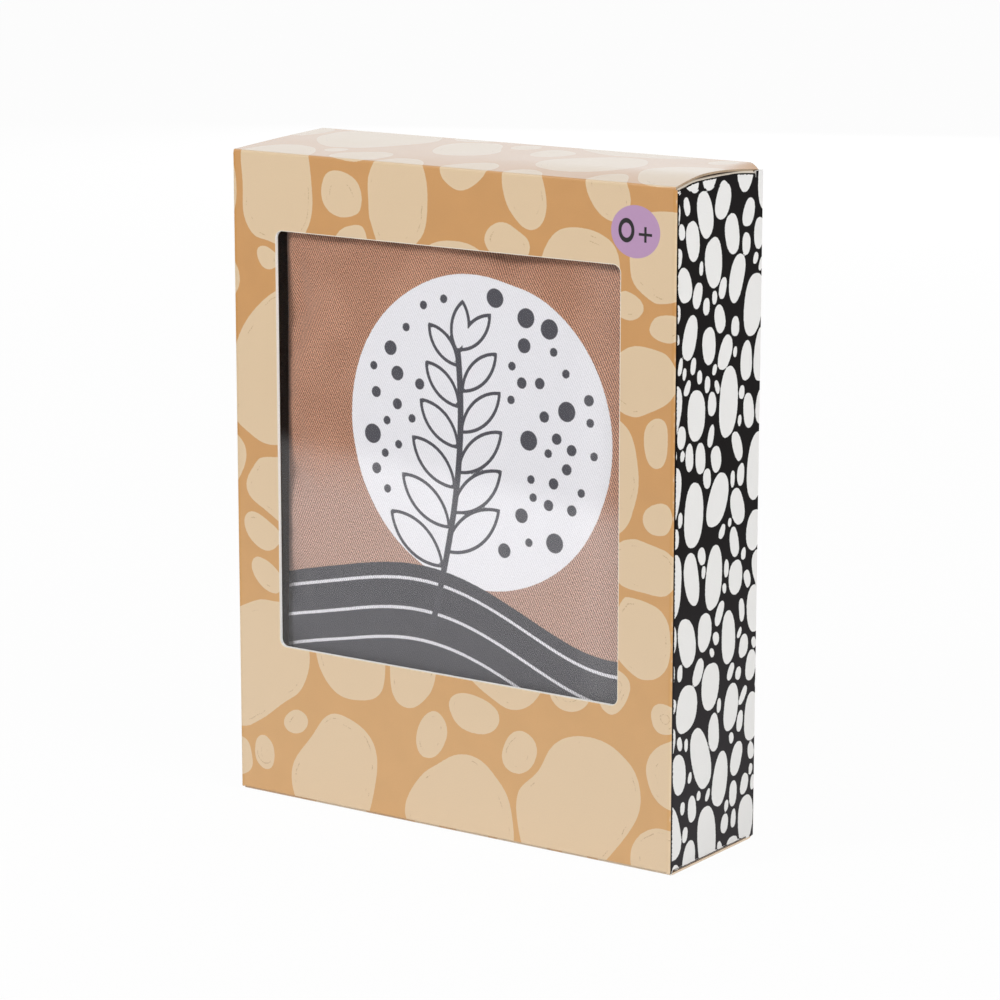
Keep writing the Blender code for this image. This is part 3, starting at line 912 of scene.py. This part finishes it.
def lid_height(x, share):
    """How far the top lid's outer face bows up, for its share of the way to the rear."""
    quick = RIGHT_RISE * np.sin(math.pi / 2 * np.clip(share / LID_RISE_SHARE, 0, 1))
    quick = quick + (LID_RISE - RIGHT_RISE) * share
    slow = LID_RISE * share + LID_BOW * np.sin(math.pi * share)
    across = np.clip((x + LID_HALF) / (2 * LID_HALF), 0, 1) ** 2
    rise = slow + (quick - slow) * across
    edge = np.clip((x - LID_HALF + DROOP_WIDTH) / DROOP_WIDTH, 0, 1) ** 2
    past = np.clip((share - DROOP_START_SHARE) / (1 - DROOP_START_SHARE), 0, 1)
    return rise - DROOP * edge * past**DROOP_POWER


def top_lid_surface(u, v):
    angle, past = quarter(v, LID_START, LID_FOLD)
    y = LID_FRONT - LID_FOLD * np.cos(angle) ** CREASE_POWER + past
    z = FRONT_HIGH + LID_FOLD * np.sin(angle) ** CREASE_POWER + lid_height(u, past / (LID_REAR - LID_FRONT))
    return u, y, z


def top_tuck_surface(u, v):
    angle, past = quarter(v, LID_END, TUCK_FOLD)
    crest = LID_TOP + lid_height(u, np.ones_like(u)) - TUCK_FOLD
    along = past / TOP_TUCK_LENGTH
    y = LID_REAR + TUCK_FOLD * np.sin(angle) + (TOP_TUCK_FOOT[0] - LID_REAR - TUCK_FOLD) * along
    z = crest + TUCK_FOLD * np.cos(angle) + (TOP_TUCK_FOOT[1] - crest) * along
    return u, y, z


def bottom_lid_surface(u, v):
    angle, past = quarter(v, LID_START, LID_FOLD)
    y = -LID_FRONT + LID_FOLD * np.cos(angle) - past
    z = LID_FOLD * (1 - np.sin(angle))
    return u, y, z


def bottom_tuck_surface(u, v):
    angle, past = quarter(v, BOTTOM_END, BOTTOM_FOLD)
    along = past / BOTTOM_TUCK_LENGTH
    start_y = -BOTTOM_REAR - BOTTOM_FOLD
    y = -BOTTOM_REAR - BOTTOM_FOLD * np.sin(angle) + (BOTTOM_TUCK_FOOT[0] - start_y) * along
    z = BOTTOM_FOLD * (1 - np.cos(angle)) + (BOTTOM_TUCK_FOOT[1] - BOTTOM_FOLD) * along
    return u, y, z


def tuck_keep(begin, flat, foot):
    """A tuck flap's outline: full width across its fold, narrower below, with rounded free corners."""

    def keep(u, v):
        fold = np.minimum(LID_HALF - np.abs(u), flat - v)
        flap = -rounded_box(u, v, (-TUCK_HALF, TUCK_HALF), (begin - 2 * TUCK_ROUND, foot), TUCK_ROUND)
        return np.maximum(fold, flap)

    return keep


def dust_surface(side, top):
    """A dust flap's outer face. Its grid runs from the side board's edge inwards, and across from the lid's
    hinge at 0 to the tuck at 1."""

    def surface(u, v):
        lead = TOP_LEAD if top else 0.0
        angle, past = quarter(v, lead, FOLD)
        inward = FOLD * (1 - np.cos(angle)) + past
        near = DUST_NEAR - 0.9 * np.clip(1.2 - inward, 0, 1) + DUST_SLOPE * np.maximum(inward - 0.5, 0)
        far = np.full_like(near, DUST_FAR)
        past_round = np.clip(inward - (DUST_LENGTH - DUST_ROUND), 0, DUST_ROUND)
        rounding = DUST_ROUND - np.sqrt(np.maximum(DUST_ROUND**2 - past_round**2, 0))
        near = near + rounding
        far = far - rounding
        across = near + (far - near) * u
        y = (across - HALF_DEPTH) * (1 if top else -1)
        settle = np.clip(past / DUST_SETTLE, 0, 1)
        settle = settle * settle * (3 - 2 * settle)
        x = side * (HALF_WIDTH - inward)
        if top:
            share = np.clip((y - LID_FRONT) / (LID_REAR - LID_FRONT), 0, 1)
            roof = LID_TOP + lid_height(x, share) - BOARD - 0.12
            crest = np.minimum(SIDE_HIGH + lead + FOLD + TOP_SWELL * np.sin(math.pi * share), roof)
            z = SIDE_HIGH + (crest - FOLD - SIDE_HIGH) * np.minimum(v / lead, 1) + FOLD * np.sin(angle)
            z = z + (FRONT_HIGH - z) * settle
        else:
            z = SIDE_LOW - FOLD * np.sin(angle) - 0.05
            z = z + (DUST_LEVEL - z) * settle
        return x, y, z

    return surface


def end_lines(foot, radius):
    """Grid lines through the rounded corners of a flap's free end."""
    return [p for p in corner_lines(foot - 2 * radius, foot, radius) if p > foot - radius] + [foot - radius]


def tuck_grid(begin, radius, foot):
    us = lines(TUCK_STEP, -LID_HALF, LID_HALF, *corner_lines(-TUCK_HALF, TUCK_HALF, TUCK_ROUND))
    return us, lines(TUCK_STEP, *arc_lines(begin, radius), *end_lines(foot, TUCK_ROUND))


def bottom_net(u, v):
    return BACK_NET - u, FRONT_LOW - (v - LID_START)


def build_closures(materials, pebbles, right_ovals, left_ovals):
    # The top lid and its tuck take a darker, browner copy of the cut edge on their ends: painted shade.
    outer, inside, edge, shaded_cut_material = (materials[key] for key in ("lid", "inside", "edge", "painted_shade_edge"))
    lid_ridge = LID_START + 0.45 * LID_FOLD * math.pi / 2
    tuck_ridge = LID_END + 0.5 * TUCK_FOLD * math.pi / 2

    us = lines(PLAIN_STEP, -LID_HALF, LID_HALF - DROOP_WIDTH, LID_HALF)
    vs = lines(PLAIN_STEP, *arc_lines(LID_START, LID_FOLD), LID_END)
    lid = build_sheet(
        "top_lid_board", us, vs, top_lid_surface, (0, 0, 1), BOARD, (outer, inside, shaded_cut_material),
        readings=print_readings(pebbles),
    )
    lid.data.materials.append(materials["amber"])
    for polygon in lid.data.polygons:
        if polygon.material_index == 0 and polygon.center.z < CREASE_HIGH * MM:
            polygon.material_index = 3
    finish_piece(
        lid, "amber_print", "top_lid", "carton", "top_lid_panel",
        (0, -HALF_DEPTH, FRONT_HIGH), (0, LID_FRONT, LID_TOP),
    )

    foot = TUCK_FLAT + TOP_TUCK_LENGTH
    crest = LID_TOP + LID_RISE
    moves = ("top_lid_panel", "top_tuck", (0, LID_REAR, crest), (0, LID_REAR + TUCK_FOLD, crest - TUCK_FOLD))
    build_board(
        "top_tuck_board", *tuck_grid(LID_END, TUCK_FOLD, foot), top_tuck_surface, (0, 1, 0.5),
        (outer, inside, shaded_cut_material), "amber_print", "top_tuck_flap", moves,
        keep=tuck_keep(LID_END, TUCK_FLAT, foot),
        readings=print_readings(pebbles, ridges_v=[tuck_ridge]),
    )

    vs = lines(PLAIN_STEP, *arc_lines(LID_START, LID_FOLD), BOTTOM_END)
    moves = ("carton", "bottom_lid_panel", (0, HALF_DEPTH, LID_FOLD), (0, -LID_FRONT, 0))
    # The bottom lid's cut edges take a darker, warmer copy of the cut edge: painted shade.
    build_board(
        "bottom_lid_board", lines(TUCK_STEP, -LID_HALF, LID_HALF), vs, bottom_lid_surface, (0, 0, -1),
        (outer, inside, materials["painted_shade_cream_edge"]), "amber_print", "bottom_lid", moves, net=bottom_net,
        readings=print_readings(pebbles, ridges_v=[FRONT_LOW - (lid_ridge - LID_START)]),
    )

    foot = BOTTOM_FLAT + BOTTOM_TUCK_LENGTH
    bend = -BOTTOM_REAR - BOTTOM_FOLD
    moves = ("bottom_lid_panel", "bottom_tuck", (0, -BOTTOM_REAR, 0), (0, bend, BOTTOM_FOLD))
    build_board(
        "bottom_tuck_board", *tuck_grid(BOTTOM_END, BOTTOM_FOLD, foot), bottom_tuck_surface, (0, -1, -0.5),
        (outer, inside, edge), "amber_print", "bottom_tuck_flap", moves, net=bottom_net,
        keep=tuck_keep(BOTTOM_END, BOTTOM_FLAT, foot), readings=print_readings(pebbles),
    )

    for end, lead, edge_z, way in (("top", TOP_LEAD, SIDE_HIGH, 1), ("bottom", 0.0, SIDE_LOW, -1)):
        length = lead + FOLD_LENGTH + DUST_LENGTH - FOLD
        ridge = lead + 0.5 * FOLD_LENGTH
        us = lines(1 / 36, 0, 1)
        vs = lines(DUST_STEP, 0, *arc_lines(lead, FOLD), *end_lines(length, DUST_ROUND))
        for side, word, ovals in ((1, "right", right_ovals), (-1, "left", left_ovals)):

            def net(u, v, side=side, edge_z=edge_z, way=way):
                across = DUST_NEAR + (DUST_FAR - DUST_NEAR) * u
                along = SIDE_START - FOLD + (across if way > 0 else 2 * HALF_DEPTH - across)
                return side * along, edge_z + way * v

            def printed(u, v, edge_z=edge_z, way=way, ridge=ridge):
                return ridge - way * (v - edge_z)

            begin = (side * HALF_WIDTH, 0, edge_z + way * lead)
            crest = (side * (HALF_WIDTH - FOLD), 0, edge_z + way * (lead + FOLD))
            build_board(
                f"{end}_{word}_dust_board", us, vs, dust_surface(side, way > 0), (0, 0, way),
                (materials["black"], inside, edge), "bare_board", f"{end}_{word}_dust_flap",
                ("carton", f"{end}_{word}_dust", begin, crest), net=net,
                readings=print_readings(
                    pebbles, ovals, printed, lambda u, v, printed=printed: -printed(u, v),
                    ridges_v=[edge_z + way * ridge],
                ),
            )


# Book

COVER_X = (-59.8, 69.4)
COVER_Z = (1.8, 172.77)
LEAF_X = (-58.5, 68.4)
LEAF_Z = (2.8, 171.77)
PAD_STEP = 2.4
COVER_STEP = 2.75
COVER_LEAN = 2.2
SEAM_HALF = 0.35
CROWN_REACH = 15.0
CORNER_REACH = 6.0
SPINE_LOW = 2.5
SPINE_HIGH = 172.0
SPINE_THICK = 0.7
SLACK = -0.022
PRESSURE = 5.0
SIM_FRAMES = 18
PUFF_CAP = 3.0
SETTLE_POWER = 1.15
COVER_PAD = (-18.84, -13.64)
BACK_PAD = (6.26, 11.46)
LEAF_PADS = [(-13.34 + 4.9 * k, -8.74 + 4.9 * k) for k in range(4)]


def pad_surface(a, b, half_x, half_z, lean):
    """Where a place on a pad, from -1 to 1 each way, lies.

    The edges are drawn in between the corners, which are rounded.
    """
    pull = 0.6 * (np.abs(a) ** 6) * (1 - b**2)
    x = a * half_x - np.sign(a) * pull
    pull = 0.7 * (np.abs(b) ** 6) * (1 - a**2)
    z = b * half_z - np.sign(b) * pull
    x = x - lean * (1 - a) * (1 - b) / 4
    past_x = np.maximum(np.abs(a) * half_x - (half_x - CORNER_REACH), 0)
    past_z = np.maximum(np.abs(b) * half_z - (half_z - CORNER_REACH), 0)
    corner = past_x * past_z / CORNER_REACH**2
    x = x - np.sign(a) * 1.6 * corner**1.5
    z = z - np.sign(b) * 1.6 * corner**1.5
    return x, z


def pad_rise(a, b, half_x, half_z, seed):
    """How far a pad stands out from its seam's plane, as a share of its most."""
    inset = np.minimum(half_x * (1 - np.abs(a)), half_z * (1 - np.abs(b)))
    share = np.clip(inset / CROWN_REACH, 0, 1)
    rise = (1 - (1 - share) ** 2.2) ** 0.62
    gather = np.exp(-inset / 5.0) * (inset > 0.1)
    around = np.where(half_x * (1 - np.abs(a)) < half_z * (1 - np.abs(b)), b * half_z, a * half_x)
    pucker = ripple(around, inset * 0.3, 6.5, seed) * 0.10 * gather
    return rise * (0.95 + 0.05 * ripple(a * half_x, b * half_z, 55.0, seed + 1)) + pucker


def pad_mesh(name, box_x, box_z, box_y, seed, step, lean):
    """A closed pad: a front and a back face sewn together round their edge."""
    half_x, half_z = (box_x[1] - box_x[0]) / 2, (box_z[1] - box_z[0]) / 2
    middle_x, middle_z, middle_y = sum(box_x) / 2, sum(box_z) / 2, sum(box_y) / 2
    half_y = (box_y[1] - box_y[0]) / 2
    count_a, count_b = int(2 * half_x / step), int(2 * half_z / step)
    a, b = np.meshgrid(np.linspace(-1, 1, count_a + 1), np.linspace(-1, 1, count_b + 1), indexing="ij")
    x, z = pad_surface(a, b, half_x, half_z, lean)
    points, nets, faces = [], [], []
    index = np.arange(a.size).reshape(a.shape)
    quads = grid_quads(index)
    for side in (0, 1):
        rise = pad_rise(a, b, half_x, half_z, seed + 10 * side)
        out = SEAM_HALF + (half_y - SEAM_HALF) * np.clip(rise, 0, 1)
        y = middle_y + out * (1 if side else -1)
        points.append(np.stack([middle_x + x, y, middle_z + z], axis=-1).reshape(-1, 3))
        net = [middle_x + a * half_x + BACK_FACE_NET * side, middle_z + b * half_z]
        nets.append(np.stack(net, axis=-1).reshape(-1, 2))
        faces += [list(face) if side == 0 else list(face[::-1] + a.size) for face in quads]
    ring = list(index[:, 0]) + list(index[-1, 1:]) + list(index[-2::-1, -1]) + list(index[0, -2:0:-1])
    ring_pairs = list(zip(ring, ring[1:] + ring[:1]))
    faces += [[int(q), int(p), int(p + a.size), int(q + a.size)] for p, q in ring_pairs]
    mesh = bpy.data.meshes.new(name)
    mesh.from_pydata((np.concatenate(points) * MM).tolist(), [], [[int(c) for c in face] for face in faces])
    store_net(mesh, np.concatenate(nets))
    rim = set(int(c) for c in ring) | set(int(c + a.size) for c in ring)
    return add_object(name, mesh), sorted(rim), len(quads)


def puff(obj, rim, box_y):
    """Lets the cloth swell and wrinkle over its wadding, held at its seam and between its neighbours."""
    start = np.array([vertex.co for vertex in obj.data.vertices])
    group = obj.vertex_groups.new(name="seam")
    group.add(rim, 1.0, "REPLACE")
    cloth = obj.modifiers.new("cloth", "CLOTH")
    cloth.settings.quality = 6
    cloth.settings.mass = 0.15
    cloth.settings.use_pressure = True
    cloth.settings.uniform_pressure_force = PRESSURE
    cloth.settings.shrink_min = SLACK
    cloth.settings.tension_stiffness = 20
    cloth.settings.compression_stiffness = 20
    cloth.settings.bending_stiffness = 0.05
    cloth.settings.vertex_group_mass = "seam"
    cloth.settings.effector_weights.gravity = 0
    cloth.collision_settings.use_collision = False
    cloth.point_cache.frame_end = SIM_FRAMES
    for frame in range(1, SIM_FRAMES + 1):
        bpy.context.scene.frame_set(frame)
    graph = bpy.context.evaluated_depsgraph_get()
    end = np.array([vertex.co for vertex in obj.evaluated_get(graph).data.vertices])
    obj.modifiers.remove(cloth)
    obj.vertex_groups.clear()
    bpy.context.scene.frame_set(1)
    move = end - start
    reach = np.linalg.norm(move, axis=1, keepdims=True)
    move *= np.minimum(1, PUFF_CAP * MM / np.maximum(reach, 1e-9))
    end = start + move
    low, high = box_y[0] * MM, box_y[1] * MM
    middle, half = (low + high) / 2, (high - low) / 2
    share = (end[:, 1] - middle) / half
    share = np.tanh(share * SETTLE_POWER) / np.tanh(SETTLE_POWER)
    end[:, 1] = middle + np.clip(share, -1, 1) * half
    obj.data.vertices.foreach_set("co", end.astype(np.float32).ravel())
    obj.data.update()


def subdivide(obj, levels):
    modifier = obj.modifiers.new("smooth", "SUBSURF")
    modifier.levels = levels
    modifier.render_levels = levels
    modifier.uv_smooth = "PRESERVE_BOUNDARIES"
    graph = bpy.context.evaluated_depsgraph_get()
    mesh = bpy.data.meshes.new_from_object(obj.evaluated_get(graph))
    obj.modifiers.remove(modifier)
    obj.data = mesh
    mesh.polygons.foreach_set("use_smooth", [True] * len(mesh.polygons))


def leaf_inside(u, v, x, y, length, width, angle):
    """A pointed leaf, the overlap of two discs, from its stalk at x, y."""
    half = length / 2
    radius = (half**2 + (width / 2) ** 2) / width
    middle = (x + half * math.cos(angle), y + half * math.sin(angle))
    offset = radius - width / 2
    inside = []
    for way in (-1, 1):
        centre = (middle[0] - way * offset * math.sin(angle), middle[1] + way * offset * math.cos(angle))
        inside.append(radius - np.hypot(u - centre[0], v - centre[1]))
    return np.minimum(*inside)


DISC_MIDDLE = (9.0, 116.0)
DISC_RADIUS = 44.0
STEM_TOP = 139.0
DOT_COUNT = 46
BACK_FACE_NET = 300.0
FRONT_FACE_END = 200.0


def stem_place(v):
    """Where the sprig's stem stands at a height."""
    return -6 + 9 * np.sin((v - 60) / 38)


def sprig_leaves():
    """The sprig's leaves: each one's stalk, length, width and angle."""
    leaves = []
    for k in range(6):
        height = 76 + 11.5 * k
        size = 24 - 1.6 * k
        for way in (-1, 1):
            lift = 4.5 if way > 0 else 0
            angle = math.radians(90 - way * (52 - 2 * k))
            leaves.append((stem_place(height), height + lift, size, size * 0.42, angle))
    return leaves + [(stem_place(STEM_TOP), 137, 16, 7, math.radians(84))]


def scatter_dots(leaves):
    """Dots on the disc, clear of the leaves, the stem and one another."""
    spots = np.random.default_rng(77)
    placed = []
    while len(placed) < DOT_COUNT:
        x, y = spots.uniform(-50, 62), spots.uniform(82, 160)
        radius = spots.choice([1.25, 1.6, 2.1, 2.8])
        if math.dist((x, y), DISC_MIDDLE) > DISC_RADIUS - 5:
            continue
        if any(math.dist((x, y), other[:2]) < radius + other[2] + 2.2 for other in placed):
            continue
        nearest = max(float(leaf_inside(x, y, *leaf)) for leaf in leaves)
        if y < STEM_TOP:
            nearest = max(nearest, -abs(x - stem_place(y)))
        if nearest <= -radius - 1.5:
            placed.append((x, y, radius))
    return placed


def cover_readings(u, v):
    """The cover print's shapes: a disc, hills, a sprig of leaves, and its stem and dots."""
    wave = 1 + 0.012 * ripple(u, v, 90.0, 41)
    disc = DISC_RADIUS * wave - np.hypot(u - DISC_MIDDLE[0], v - DISC_MIDDLE[1])
    left = 66 + 12 * np.sin((u + 52) / 26)
    right = 60 - 9 * np.cos((u - 30) / 24)
    hill = (np.logaddexp(left / 6, right / 6) * 6 - 2.5 - v) * 0.92
    ink = 0.95 - np.abs(u - stem_place(v)) * 0.97
    ink = np.maximum(np.minimum(ink, np.minimum(v - 58, STEM_TOP - v)), OFF_PRINT)
    leaves = sprig_leaves()
    leaf = never(u, v)
    for shape in leaves:
        leaf = np.maximum(leaf, leaf_inside(u, v, *shape))
    for x, y, radius in scatter_dots(leaves):
        ink = np.maximum(ink, radius - np.hypot(u - x, v - y))
    front = u < FRONT_FACE_END
    found = {"disc": disc, "leaf": leaf, "ink": ink}
    found = {key: np.where(front, value, OFF_PRINT) for key, value in found.items()}
    return {"hill": hill, **found}


def add_readings(obj, readings):
    """Stores readings on a pad's points, from its UV map."""
    mesh = obj.data
    flat = np.zeros(len(mesh.loops) * 2, dtype=np.float32)
    mesh.uv_layers["net"].data.foreach_get("uv", flat)
    net = np.zeros((len(mesh.vertices), 2))
    net[loop_points(mesh)] = flat.reshape(-1, 2) * NET_UNIT
    store_readings(mesh, readings(net[:, 0], net[:, 1]))


def build_pad(
    name, box_x, box_z, box_y, seed, materials, nodes, step=PAD_STEP, levels=1, lean=0.0
):
    """A padded panel with one cloth in front and another behind."""
    obj, rim, front_count = pad_mesh(name, box_x, box_z, box_y, seed, step, lean)
    for material in materials:
        obj.data.materials.append(material)
    indices = [0] * front_count + [1] * front_count + [0] * (len(obj.data.polygons) - 2 * front_count)
    obj.data.polygons.foreach_set("material_index", indices)
    puff(obj, rim, box_y)
    subdivide(obj, levels)
    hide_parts(*nodes)
    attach(obj, "book")
    return obj


def build_book(materials):
    cover = build_pad(
        "front_cover_pad", COVER_X, COVER_Z, COVER_PAD, 100, (materials["cover"], materials["page_a"]),
        ["front_cover_print", "front_cover_wadding", "front_cover_lining"],
        step=COVER_STEP, levels=2, lean=COVER_LEAN,
    )
    add_readings(cover, cover_readings)
    back = build_pad(
        "back_cover_pad", COVER_X, COVER_Z, BACK_PAD, 200, (materials["page_a"], materials["cover"]),
        ["back_cover_lining", "back_cover_wadding", "back_cover_print"], lean=COVER_LEAN,
    )
    add_readings(back, cover_readings)
    pages = (materials["page_a"], materials["page_b"])
    for number, box_y in enumerate(LEAF_PADS, 1):
        leaf = f"leaf_{number}"
        nodes = [f"{leaf}_front_cloth", f"{leaf}_wadding", f"{leaf}_back_cloth"]
        faces = pages if number % 2 else pages[::-1]
        build_pad(f"{leaf}_pad", LEAF_X, LEAF_Z, box_y, 300 + 20 * number, faces, nodes)

    def spine_plan(u, v):
        turn = (u - 0.5) * math.pi * 0.98
        y = -3.69 + 11.0 * np.sin(turn)
        x = -59.9 - 1.1 * np.sqrt(np.maximum(np.cos(turn), 0)) + 0.12 * ripple(y, v, 30.0, 61)
        x = x - COVER_LEAN * (1 - (v - SPINE_LOW) / (SPINE_HIGH - SPINE_LOW))
        return x, y, v

    spine = build_sheet(
        "spine_fabric", lines(1 / 30, 0, 1), lines(1.5, SPINE_LOW, SPINE_HIGH), spine_plan, (-1, 0, 0),
        SPINE_THICK, (materials["cover"],) * 3, net=lambda u, v: (-84 + 24 * u, v), readings=cover_readings,
    )
    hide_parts("spine_cloth")
    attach(spine, "book")


# Studio


def build_camera():
    sin_a, cos_a = math.sin(CAMERA_AZIMUTH), math.cos(CAMERA_AZIMUTH)
    sin_e, cos_e = math.sin(CAMERA_ELEVATION), math.cos(CAMERA_ELEVATION)
    back = Vector((sin_a * cos_e, -cos_a * cos_e, sin_e))
    level_right = Vector((cos_a, sin_a, 0))
    level_up = back.cross(level_right)
    cos_r, sin_r = math.cos(CAMERA_ROLL), math.sin(CAMERA_ROLL)
    right = level_right * cos_r + level_up * sin_r
    up = level_up * cos_r - level_right * sin_r
    aim = Vector((0, 0, AIM_HEIGHT)) + right * AIM_RIGHT + up * AIM_UP
    data = bpy.data.cameras.new("camera")
    data.lens = CAMERA_LENS
    data.sensor_width = SENSOR_WIDTH
    data.clip_start = 0.01
    camera = bpy.data.objects.new("camera", data)
    bpy.context.scene.collection.objects.link(camera)
    camera.matrix_world = Matrix.Translation((aim + back * CAMERA_DISTANCE) * MM) @ Matrix(
        (right, up, back)
    ).transposed().to_4x4()
    bpy.context.scene.camera = camera


WORLD_LIGHT = 0.28
FLOOR_GLOW = 0.965
FLOOR_REACH = 3.0
FLOOR_DROP = 0.0001
LAMP_AIM = Vector((0, 0, 0.10))


def add_lamp(name, spot, size, power):
    """A square soft lamp, placed in metres and aimed at the carton."""
    data = bpy.data.lights.new(name, "AREA")
    data.shape = "SQUARE"
    data.size = size
    data.energy = power
    lamp = bpy.data.objects.new(name, data)
    lamp.location = spot
    lamp.rotation_mode = "QUATERNION"
    lamp.rotation_quaternion = (LAMP_AIM - Vector(spot)).to_track_quat("-Z", "Y")
    bpy.context.scene.collection.objects.link(lamp)
    return lamp


def seen_white(tree):
    """1 for what the camera, reflections and clear parts see, and 0 for the light on everything else."""
    rays = node(tree, "LightPath")
    camera, glossy, through = (
        Wire(tree, rays.outputs[f"Is {kind} Ray"]) for kind in ("Camera", "Glossy", "Transmission")
    )
    return camera.most(glossy).most(through)


def build_studio():
    world = bpy.data.worlds.new("studio")
    bpy.context.scene.world = world
    world.use_nodes = True
    tree = world.node_tree
    background = tree.nodes["Background"]
    background.inputs["Color"].default_value = (1, 1, 1, 1)
    plug(tree, background.inputs["Strength"], seen_white(tree) * (1 - WORLD_LIGHT) + WORLD_LIGHT)

    mesh = bpy.data.meshes.new("floor")
    corners = [(x * FLOOR_REACH, y * FLOOR_REACH, 0) for x, y in ((-1, -1), (1, -1), (1, 1), (-1, 1))]
    mesh.from_pydata(corners, [], [(0, 1, 2, 3)])
    floor = add_object("floor", mesh)
    floor.location.z = -FLOOR_DROP
    material, tree, shader = start_material("floor")
    fill(tree, shader, {"Base Color": (0.88, 0.88, 0.88, 1), "Roughness": 0.9, "Specular IOR Level": 0.0})
    looks = seen_white(tree) * FLOOR_GLOW
    both = wire(tree, "MixShader", {0: looks, 1: Wire(tree, shader.outputs[0]), 2: wire(tree, "Emission")})
    plug(tree, tree.nodes["Material Output"].inputs[0], both)
    mesh.materials.append(material)

    add_lamp("key", (-0.6, -1.3, 1.0), 0.4, 12.6)
    add_lamp("fill", (1.6, -0.35, 0.8), 0.9, 16)
    rear = add_lamp("rear", (-0.75, 1.5, 0.45), 0.8, 9)
    rear.visible_glossy = False


def main():
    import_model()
    bpy.context.scene.view_settings.view_transform = "Standard"
    build_camera()
    materials = {
        "amber": printed_board("amber_board", 0.25, 0.3),
        "black": printed_board("black_board", 0.0, 0.03),
        "lid": printed_board("lid_board", 1.0, 0.6),
        "inside": bare_board("inner_board", srgb(132, 98, 70), srgb(168, 132, 98)),
        "edge": bare_board("cut_edge", srgb(246, 244, 239), srgb(252, 251, 248)),
        # Painted shade: a darker, warmer copy of the white cut edge, for the bottom lid's cut edges.
        "painted_shade_cream_edge": bare_board("painted_shade_cream_cut_edge", srgb(222, 198, 172), srgb(242, 224, 202)),
        # Painted shade: a darker, browner copy of the white cut edge, for the top lid's ends.
        "painted_shade_edge": bare_board("painted_shade_cut_edge", srgb(146, 122, 98), srgb(190, 168, 142)),
        "film": clear_film("clear_film"),
        "cover": cover_cloth("cover_twill"),
        "page_a": page_cloth("page_weave_pale", srgb(226, 222, 216), srgb(96, 94, 98)),
        "page_b": page_cloth("page_weave_warm", srgb(196, 146, 120), srgb(228, 226, 226)),
    }
    pebbles = scatter_ovals((-90, -70), (280, 265), PEBBLE_SIZES, PEBBLE_TALL, PEBBLE_GAP, None)
    right_ovals = scatter_ovals(
        (SIDE_START - 6, -6), (SIDE_END + 4, 198), OVAL_SIZES, OVAL_TALL, OVAL_GAP, OVAL_LEAN
    )
    left_ovals = right_ovals.copy()
    left_ovals[:, 0] *= -1
    left_ovals[:, 1] = SIDE_LOW + SIDE_HIGH - left_ovals[:, 1]
    build_sleeve(materials, pebbles, right_ovals, left_ovals)
    build_closures(materials, pebbles, right_ovals, left_ovals)
    build_book(materials)
    build_studio()


main()
